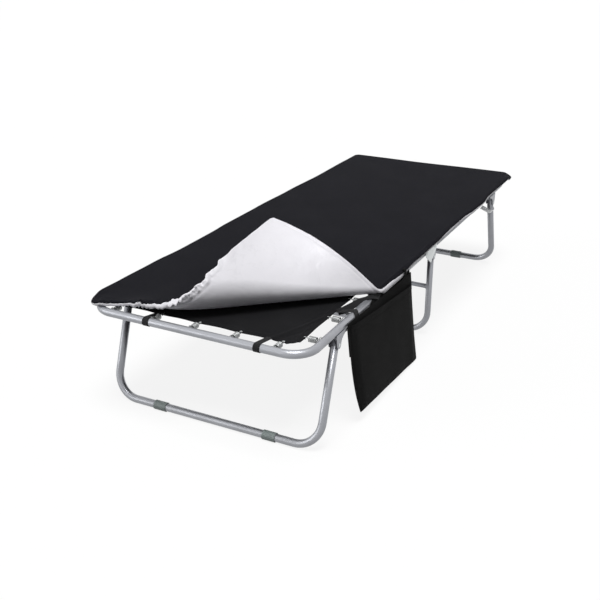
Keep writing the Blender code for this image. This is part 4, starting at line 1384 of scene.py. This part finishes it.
    def crumple(self, x: float, y: float) -> Pair:
        """Gathers along the near edge: how far a point moves out and up."""
        front = y - PAD_NEAR
        beside = PAD_RIGHT - x
        seam = 0.0011 * hump(beside - 0.0125, 0.0030) - 0.0007 * ripple(y, 2.0, 40.0) * exp(-beside / 0.012)
        if front > 0.06:
            return 0.0, seam
        strong = rise(-0.245, -0.165, x) * fall(0.010, 0.130, x)
        reach = 0.13 + 0.87 * strong * (0.75 + 0.5 * ripple(x, 0.0, 11.0, 12.0))
        skew = x + 0.25 * front
        fold = 0.55 - 3.0 * abs(ripple(skew, 0.0, 30.0, 8.0))
        fine = 0.75 - 3.0 * abs(ripple(skew, front * 0.3, 74.0, 3.0))
        crease = 0.75 - 3.0 * abs(ripple(skew, front * 0.5, 118.0, 5.0))
        hem = fall(0.013, 0.026, front)
        valley = hump(front - 0.026, 0.0050) * fall(0.02, 0.07, x)
        up = reach * (hem * (0.0060 * fold + 0.0042 * fine + 0.0020 * crease) - 0.0022 * valley)
        out = reach * hem * (0.0075 * ripple(x, 0.0, 24.0, 4.0) + 0.0016 * fine)
        return out + self.scallop(x) * fall(0.0, 0.045, front), -up

    def layer(self, end: int, cover: bool) -> Mesh:
        """One closed layer of the pad.

        Args:
            end: -1 for the near part, 1 for the far part.
            cover: Whether it is the brushed cover rather than the lining.

        Returns:
            The mesh.
        """
        roundness = self.cover_round if cover else self.lining_round
        columns = self.columns if end > 0 else self.near_columns
        vs = spread(2 * self.rows - 1, -1.0, 1.0, 0.86)[self.rows - 1:]

        def settled(u: float, v: float) -> Pair:
            """The flat place at two shares, found in a few rounds because each edge hangs on the other."""
            x, y = 0.0, 0.0
            for _ in range(4):
                left_in, right_in, _ = self.insets(y, end, cover)
                left, right = self.left(y) + left_in, self.right(y) - right_in
                x = left + (right - left) * u
                y = end * v * self.end_line(x, y, end, cover)
            return x, y

        flats = [[settled(u, v) for v in vs] for u in spread(columns, 0.0, 1.0, 0.86 if end > 0 else 0.45)]

        def place(i: int, j: int, side: int) -> Vector:
            """A point on the layer's upper or lower face."""
            x, y = flats[i][j]
            out, up = self.crumple(x, y) if end < 0 else (0.0, 0.0)
            low, high = self.heights(cover, x, y)
            full = puff(self.edge(x, y, end, cover), roundness) * side
            height = (low + high + (high - low) * full) / 2
            return Vector((x, y - out, PAD_Z + height + up + self.lie(x, y)))

        return two_sided(columns, self.rows, place, lambda i, j: flats[i][j], hemmed=True)


@dataclass
class TurnedCorner:
    """The corner of the pad that is rolled back so that its lining shows."""

    shop: Workshop
    pad: Pad
    columns: int = 120
    rows: int = 150
    tight_radius: float = 0.0175
    tight_angle: float = 17.3
    radii: tuple = (0.0735, 0.0616, 0.0348, 0.0175)
    angles: tuple = (86.8, 135.3, 133.0, 112.8)
    curls: tuple = (2.181, 1.654)
    overlap: float = 0.010
    corner_radius: float = 0.014

    def __post_init__(self) -> None:
        """Settles the fold line's directions."""
        self.start = self.pad.fold_start
        reach = self.pad.fold_end - self.start
        self.length = reach.length
        self.direction = reach / self.length
        self.normal = Vector((self.direction.y, -self.direction.x))

    def build(self) -> None:
        """Builds the two layers of the corner."""
        lining = self.shop.piece("turned_corner_lining", self.layer(False), "lining", Body.NEAR,
                                 ["pad_turned_corner"])
        cover = self.shop.piece("turned_corner_top", self.layer(True), "top", Body.NEAR)
        for piece in (lining, cover):
            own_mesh(piece)

    @staticmethod
    def cubic(values: Sequence[float], a: float) -> float:
        """A cubic through four values at even steps from 0 to 1."""
        shares = [[(a - j / 3) / ((i - j) / 3) for j in range(4) if j != i] for i in range(4)]
        return sum(value * prod(share) for value, share in zip(values, shares))

    def turned(self, x: float, y: float, height: float) -> Vector:
        """Where a flat point of the corner lies once it is rolled back.

        Args:
            x: Its flat place across.
            y: Its flat place along.
            height: Its height in the pad's thickness.

        Returns:
            The point in the bed's frame.
        """
        offset = Vector((x, y)) - self.start
        along, past = offset.dot(self.direction), offset.dot(self.normal)
        a = min(max(along / self.length, 0.0), 1.0)
        tight = radians(self.tight_angle)
        radius = exp(self.cubic([log(value) for value in self.radii], a))
        angle = max(radians(self.cubic(self.angles, a)), tight)
        curl = self.curls[0] + (self.curls[1] - self.curls[0]) * a
        left, bearing, forward, up = max(past, 0.0), 0.0, 0.0, 0.0
        for bend, until in ((self.tight_radius, tight), (radius, angle), (1 / curl, 9.0)):
            after = min(bearing + left / bend, until)
            forward += bend * (sin(after) - sin(bearing))
            up += bend * (cos(bearing) - cos(after))
            left = max(left - bend * (after - bearing), 0.0)
            bearing = after
        forward -= height * sin(bearing)
        up += height * cos(bearing)
        base = self.start + self.direction * along + self.normal * (min(past, 0.0) + forward)
        slump = 0.009 * exp(-((x - 0.05) / 0.070) ** 2 - max(y - PAD_NEAR, 0.0) / 0.070)
        return Vector((base.x, base.y, PAD_Z + up + self.pad.lift(x, y) - slump))

    def corner(self, inset: float, beside: float) -> Vector:
        """The middle of the rounded corner, the outline drawn in at the front and the right."""
        return Vector((PAD_RIGHT - beside - self.corner_radius, PAD_NEAR + inset + self.corner_radius))

    def span(self, past: float, inset: float, beside: float) -> Pair:
        """Where a row parallel to the fold line meets the pad's outline.

        Args:
            past: The row's distance past the fold line.
            inset: How far inside the front edge it ends.
            beside: How far inside the right edge it ends.

        Returns:
            The row's two ends, as distances along the fold line.
        """
        origin = self.start + self.normal * past
        low = (PAD_NEAR + inset - origin.y) / self.direction.y
        high = (PAD_RIGHT - beside - origin.x) / self.direction.x
        centre = self.corner(inset, beside)
        offset = centre - origin
        gap = abs(offset.dot(self.normal))
        if gap < self.corner_radius:
            nearest = offset.dot(self.direction)
            half = sqrt(self.corner_radius ** 2 - gap ** 2)
            if (origin + self.direction * low).x > centre.x:
                low = nearest - half
            if (origin + self.direction * high).y < centre.y:
                high = nearest + half
        return low, max(low, high)

    def edge(self, x: float, y: float, inset: float, beside: float) -> float:
        """Distance from the outline, inwards."""
        right, front = PAD_RIGHT - beside - x, y - PAD_NEAR - inset
        radius = self.corner_radius
        if right < radius and front < radius:
            return max(0.0, radius - hypot(radius - right, radius - front))
        return max(0.0, min(right, front))

    def layer(self, cover: bool) -> Mesh:
        """One closed layer of the corner, the brushed cover or the lining."""
        low, high = self.pad.heights(cover, 0.0, 0.0)
        inset, beside = (self.pad.inset, self.pad.insets(-0.5, -1, True)[1]) if cover else (0.0, 0.0)
        roundness = self.pad.cover_round if cover else self.pad.lining_round
        reach = (self.corner(inset, beside) - self.start).dot(self.normal) + self.corner_radius
        steps = [1 - (1 - index / (self.rows - 1)) ** 1.08 for index in range(self.rows)]
        rows = [-self.overlap + (reach - 1e-7 + self.overlap) * step for step in steps]
        spans = [(past, *self.span(past, inset, beside)) for past in rows]
        grid = []
        for t in spread(self.columns, 0.0, 1.0, 0.86):
            flats = [(self.start + self.direction * (first + (last - first) * t) + self.normal * past, past)
                     for past, first, last in spans]
            grid.append([(flat.x, flat.y, past) for flat, past in flats])

        def place(i: int, j: int, side: int) -> Vector:
            """A point on the layer's upper or lower face."""
            x, y, past = grid[i][j]
            hanging = 0.0 if cover else self.pad.hem(x, y)
            middle, half = (low + high - hanging) / 2, (high - low + hanging) / 2
            edge = self.edge(x, y, inset, beside)
            thin = 0.86 + 0.14 * rise(0.0, 0.012, past)
            out, up = self.pad.crumple(x, y)
            soft = 0.0022 * ripple(x, y, 6.0, 7.0) + 0.0012 * ripple(x, y, 26.0, 2.0) * exp(-edge / 0.03)
            up += soft * rise(0.0, 0.05, past)
            return self.turned(x, y - out, middle + half * thin * puff(edge, roundness) * side + up)

        return two_sided(self.columns, self.rows, place, lambda i, j: grid[i][j][:2], hemmed=True)


@dataclass
class SidePocket:
    """The flat pocket on the right side and the straps that hang it."""

    shop: Workshop
    columns: int = 60
    rows: int = 44
    drape_rows: int = 46
    corners: tuple = ((-0.704, 0.006), (-0.200, -0.010), (-0.161, -0.346), (-0.6395, -0.3134))
    back_x: float = 0.3790
    cloth: float = 0.0009
    near_width: float = 0.027
    cross_width: float = 0.021
    tab_width: float = 0.016
    tab_y: float = -0.283
    binding_width: float = 0.008
    binding_thickness: float = 0.0016
    flat_width: float = 0.49
    flat_height: float = 0.32
    lip: tuple = (0.0, 0.004, 0.02, 0.05, 0.075, 0.084, 0.088)
    cross_line: tuple = ((0.3120, -0.628, 0.3510), (0.322, -0.604, 0.3515), (0.336, -0.572, 0.3560),
                         (0.350, -0.541, 0.3624), (0.3605, -0.517, 0.3650), (0.3690, -0.497, 0.3636),
                         (0.3755, -0.478, 0.3580), (0.3785, -0.462, 0.3500))
    tab_line: tuple = ((0.3795, 0.338), (0.3850, 0.348), (0.3905, 0.3580), (0.3922, 0.3680), (0.3908, 0.3760),
                       (0.3868, 0.3812), (0.3820, 0.3800), (0.3790, 0.3760))

    def build(self) -> None:
        """Builds the pocket, its seam, the cloth that goes under the pad and its straps."""
        pocket = self.shop.piece("side_pocket_cloth", self.shell(), "pocket", Body.NEAR, ["side_pocket"])
        add_wall(pocket, self.cloth)
        line = [self.front(t, self.mouth(t) + 0.045) + Vector((0.0004, 0, 0)) for t in spread(60, 0.02, 0.98)]
        self.shop.piece("side_pocket_seam", self.shop.seam([line]), "thread", Body.NEAR)
        self.shop.stand_in("pocket_strap_near", "web", self.near_strap(), "black_web", Body.NEAR)
        self.shop.stand_in("pocket_strap_far", "web", self.drape(), "pocket", Body.NEAR)
        self.shop.piece("pocket_cross_strap", self.cross_strap(), "black_web", Body.NEAR)
        tab = band([Vector((x, self.tab_y, z)) for x, z in self.tab_line], Vector((0, 1, 0)), self.tab_width)
        self.shop.piece("pocket_hook_tab", tab, "pocket", Body.NEAR)
        self.shop.piece("pocket_edge_binding", self.binding(), "pocket", Body.NEAR)

    @staticmethod
    def section(outer: Pair, inner: Pair) -> list[Pair]:
        """The way over the tube from a point outside it to one inside, as (x, z) from the tube's axis."""
        start = tangent_angle(outer, STRAP_RADIUS, 1)
        return [outer, *arc(STRAP_RADIUS, start, tangent_angle(inner, STRAP_RADIUS, -1) % 360, 16), inner]

    def near_strap(self) -> Mesh:
        """The strap over the tube at the pocket's near corner."""
        flat = self.section((self.back_x - SIDE_X - 0.0012, -0.030), (-(SIDE_X - HEM_X - 0.0024), 0.001))
        path = [Vector((SIDE_X + u, -0.619 - 0.010 * rise(0.0, 0.016, u), FRAME_Z + v)) for u, v in flat]
        return band(path, Vector((0, 1, 0)), self.near_width)

    def drape(self) -> Mesh:
        """The cloth from the pocket's top over the tube to under the pad."""
        flat = self.section((self.back_x - SIDE_X + 0.0008, -0.020), (-0.040, 0.0045))
        run = lengths(flat)
        share = [length / run[-1] for length in run]

        def cut(i: int, j: int) -> Pair:
            """Flat place on the cloth."""
            near = -0.566 + 0.060 * rise(0.05, 0.45, share[i]) + 0.055 * rise(0.45, 1.0, share[i])
            far = -0.205 - 0.012 * share[i]
            return run[i], near + (far - near) * j / (self.drape_rows - 1)

        def place(i: int, j: int, side: int) -> Vector:
            """A point on the cloth's outer or inner face."""
            u, v = flat[i]
            y = cut(i, j)[1]
            stand = 0.0004 * side + 0.0012 * ripple(y, share[i], 14.0, 2.0) * rise(0.5, 0.1, share[i])
            scale = (hypot(u, v) + stand) / hypot(u, v)
            return Vector((SIDE_X + u * scale, y, FRAME_Z + v * scale))

        return two_sided(len(flat), self.drape_rows, place, cut)

    def cross_strap(self) -> Mesh:
        """The strap that crosses the tube slantwise from the cloth's edge."""
        path = [Vector(point) for point in self.cross_line]
        sides = []
        for index, point in enumerate(path):
            away = Vector((point.x - SIDE_X, 0.0, point.z - FRAME_Z)).normalized()
            share = rise(0.345, 0.366, point.x)
            face = Vector((0.35, -0.65, 0.60)) * (1 - share) + away * share
            sides.append(face.cross(heading(path, index)).normalized())
        return band(path, sides, self.cross_width)

    def outline(self, t: float, drop: float) -> Pair:
        """Y and z of the pocket at a share along it and a share down."""
        top_near, top_far, low_far, low_near = self.corners
        y, z = ((1 - drop) * (a + (b - a) * t) + drop * (c + (d - c) * t)
                for a, b, c, d in zip(top_near, top_far, low_near, low_far))
        return y, FRAME_Z + z

    def back(self, t: float, drop: float) -> Vector:
        """A point of the back panel."""
        y, z = self.outline(t, drop)
        y -= 0.010 * sin(pi * drop ** 1.6) * fall(0.0, 0.5, t)
        x = self.back_x + 0.021 * drop ** 1.5 + 0.001 * ripple(y, z, 9.0, 4.0) * drop
        return Vector((x, y, z))

    def front(self, t: float, drop: float) -> Vector:
        """A point of the front panel, which stands off the back one."""
        place = self.back(t, drop)
        side = rise(0.0, 0.10, t) * rise(0.0, 0.10, 1 - t)
        bulge = 0.0022 + 0.0070 * side * sin(pi * min(drop * 0.75 + 0.08, 1.0)) * rise(1.0, 0.92, drop)
        place.x += 0.0016 + bulge * rise(0.0, 0.03, min(t, 1 - t))
        place.x += 0.0012 * ripple(place.y, place.z, 11.0, 9.0) * side
        return place

    @staticmethod
    def mouth(t: float) -> float:
        """How far below the back the front's upper edge lies, as a share of the height."""
        return 0.018 + 0.105 * t ** 0.8

    def binding(self) -> Mesh:
        """The end of the edge binding, which stands out at the near side."""
        path = [self.back(0.0, 0.02 + 0.32 * k / 10) + Vector((0.0012, -0.0012 - 0.0022 * k / 10, 0))
                for k in range(11)]
        return band(path, Vector((0.1, 1, 0)).normalized(), self.binding_width, self.binding_thickness)

    def shell(self) -> Mesh:
        """The open-topped shell: up the back, round the sides and across the front."""
        ts = spread(self.columns, 0.0, 1.0, 0.8)
        low = self.lip[-1]
        drops = [*self.lip, *(low + (1 - low) * k / (self.rows - 1) for k in range(1, self.rows))]
        ring = [(False, t) for t in ts] + [(True, t) for t in reversed(ts)]
        points, flats = [], []
        for drop in drops:
            for ahead, t in ring:
                mouth = self.mouth(t)
                place = self.front(t, mouth + drop * (1 - mouth)) if ahead else self.back(t, drop)
                if drop > 0.999:
                    place = (self.back(t, drop) + self.front(t, drop)) / 2
                if ahead:
                    place.x += 0.0007 if drop < 0.084 else 0.0
                    place.x += 0.0030 * fall(0.0, 0.10, drop) * rise(0.0, 0.06, min(t, 1 - t))
                points.append(place)
                flats.append((t * self.flat_width + 0.6 * ahead, drop * self.flat_height))
        mesh = mesh_of(points, faces=ring_faces(len(drops), len(ring)))
        return sealed(with_cut(mesh, flats), merge=SOFT_MERGE, sharp=60)


@dataclass
class ClosingStrap:
    """The grey strap on the far right leg, which ties the folded bed."""

    shop: Workshop
    drop: float = 0.040
    lean: float = 28.0
    width: float = 0.0165
    thickness: float = 0.0012
    tail: float = 0.037

    def build(self) -> None:
        """Builds the strap round the leg with its free tail."""
        radius = TUBE_RADIUS + GAP + self.thickness / 2
        tail = [(-self.tail, 0.0052), (-self.tail * 0.5, 0.0042), (-0.006, 0.0034), (0.004, 0.0024)]
        flat = [(u, -radius - away) for u, away in tail] + arc(radius, -40, 165, 28)
        place = Matrix.Translation((SIDE_X, END_PIN_Y, PIN_Z)) @ Matrix.Rotation(END_LEAN, 4, "X")
        place = place @ Matrix.Translation((0, 0, -self.drop)) @ Matrix.Rotation(radians(self.lean), 4, "Y")
        path = [place @ Vector((u, v, 0)) for u, v in flat]
        across = (place.to_3x3() @ Vector((0, 0, 1))).normalized()
        turned = (across + Vector((0, 0.80, 0))).normalized()
        sides = [turned.lerp(across, rise(3, 9, k)).normalized() for k in range(len(path))]
        mesh = band(path, sides, self.width, self.thickness)
        self.shop.stand_in("closing_strap", "web", mesh, "grey_web", Body.FAR_LEG)


# Light, floor and camera


@dataclass
class Studio:
    """A white floor under soft light, seen from the photograph's viewpoint."""

    camera_place: tuple = (1.3972, -2.9736, 1.5246)
    camera_tilt: float = 66.298
    camera_turn: float = 27.322
    lens: float = 57.0
    floor_size: float = 60.0
    ambient: float = 0.18
    shadow: float = 0.13
    bounce: float = 0.04

    def build(self) -> None:
        """Builds the camera, the lights, the floor and the world."""
        camera = placed("camera", tuned(bpy.data.cameras.new("camera"), lens=self.lens))
        tuned(camera, location=self.camera_place,
              rotation_euler=(radians(self.camera_tilt), 0, radians(self.camera_turn)))
        bpy.context.scene.camera = camera
        self.sun("key", (10, 7.3, 0), 2.60, 26)
        self.sun("fill", (36.9, -69.6, 0), 0.90, 40)
        self.floor()
        self.world()
        bpy.context.scene.view_settings.view_transform = "Standard"

    @staticmethod
    def sun(name: str, angles: Sequence[float], strength: float, size: float) -> None:
        """A soft lamp from far away."""
        data = tuned(bpy.data.lights.new(name, "SUN"), energy=strength, angle=radians(size))
        placed(name, data).rotation_euler = tuple(radians(angle) for angle in angles)

    @staticmethod
    def seen(build: Tree) -> Socket:
        """1 where the camera, a reflection or glass looks straight at the surface."""
        path = build.add("ShaderNodeLightPath").outputs
        seen = build.math("MAXIMUM", path["Is Camera Ray"], path["Is Glossy Ray"])
        return build.math("MAXIMUM", seen, path["Is Transmission Ray"])

    def floor(self) -> None:
        """The pale floor."""
        half = self.floor_size / 2
        corners = [(-half, -half, 0), (half, -half, 0), (half, half, 0), (-half, half, 0)]
        mesh = mesh_of(corners, faces=[(0, 1, 2, 3)])
        draft = MaterialDraft("floor_white")
        draft.dress(Base_Color=(0.97, 0.97, 0.97), Roughness=0.9, Specular_IOR_Level=0.0)
        white = draft.made("ShaderNodeEmission", {"Color": (1, 1, 1), "Strength": 1.0})
        plain = draft.made("ShaderNodeBsdfDiffuse", {"Color": (self.bounce, self.bounce, self.bounce)})
        faint = draft.made("ShaderNodeMixShader", {0: self.shadow, 1: white, 2: draft.shader.outputs[0]})
        shown = draft.made("ShaderNodeMixShader", {0: self.seen(draft), 1: plain, 2: faint})
        draft.put(draft.found("OUTPUT_MATERIAL").inputs["Surface"], shown)
        mesh.materials.append(draft.material)
        placed("floor", mesh)

    def world(self) -> None:
        """A white surround, even and soft for the light it gives."""
        world = tuned(bpy.data.worlds.new("surround"), use_nodes=True)
        bpy.context.scene.world = world
        build = Tree(world.node_tree)
        back = build.found("BACKGROUND").inputs
        strength = build.math("MULTIPLY_ADD", self.seen(build), 1.0 - self.ambient, self.ambient)
        build.put(back["Color"], (1, 1, 1))
        build.put(back["Strength"], strength)


def main() -> None:
    """Builds the bed piece by piece."""
    logging.basicConfig(level=logging.INFO, format="%(name)s %(message)s")
    Studio().build()
    shop = Workshop(Palette())
    pad = Pad(shop)
    for assembly in (Frame(shop), Legs(shop), BedCloth(shop), Springs(shop), EndStraps(shop), pad,
                     TurnedCorner(shop, pad), SidePocket(shop), ClosingStrap(shop)):
        assembly.build()


if __name__ == "__main__":
    main()
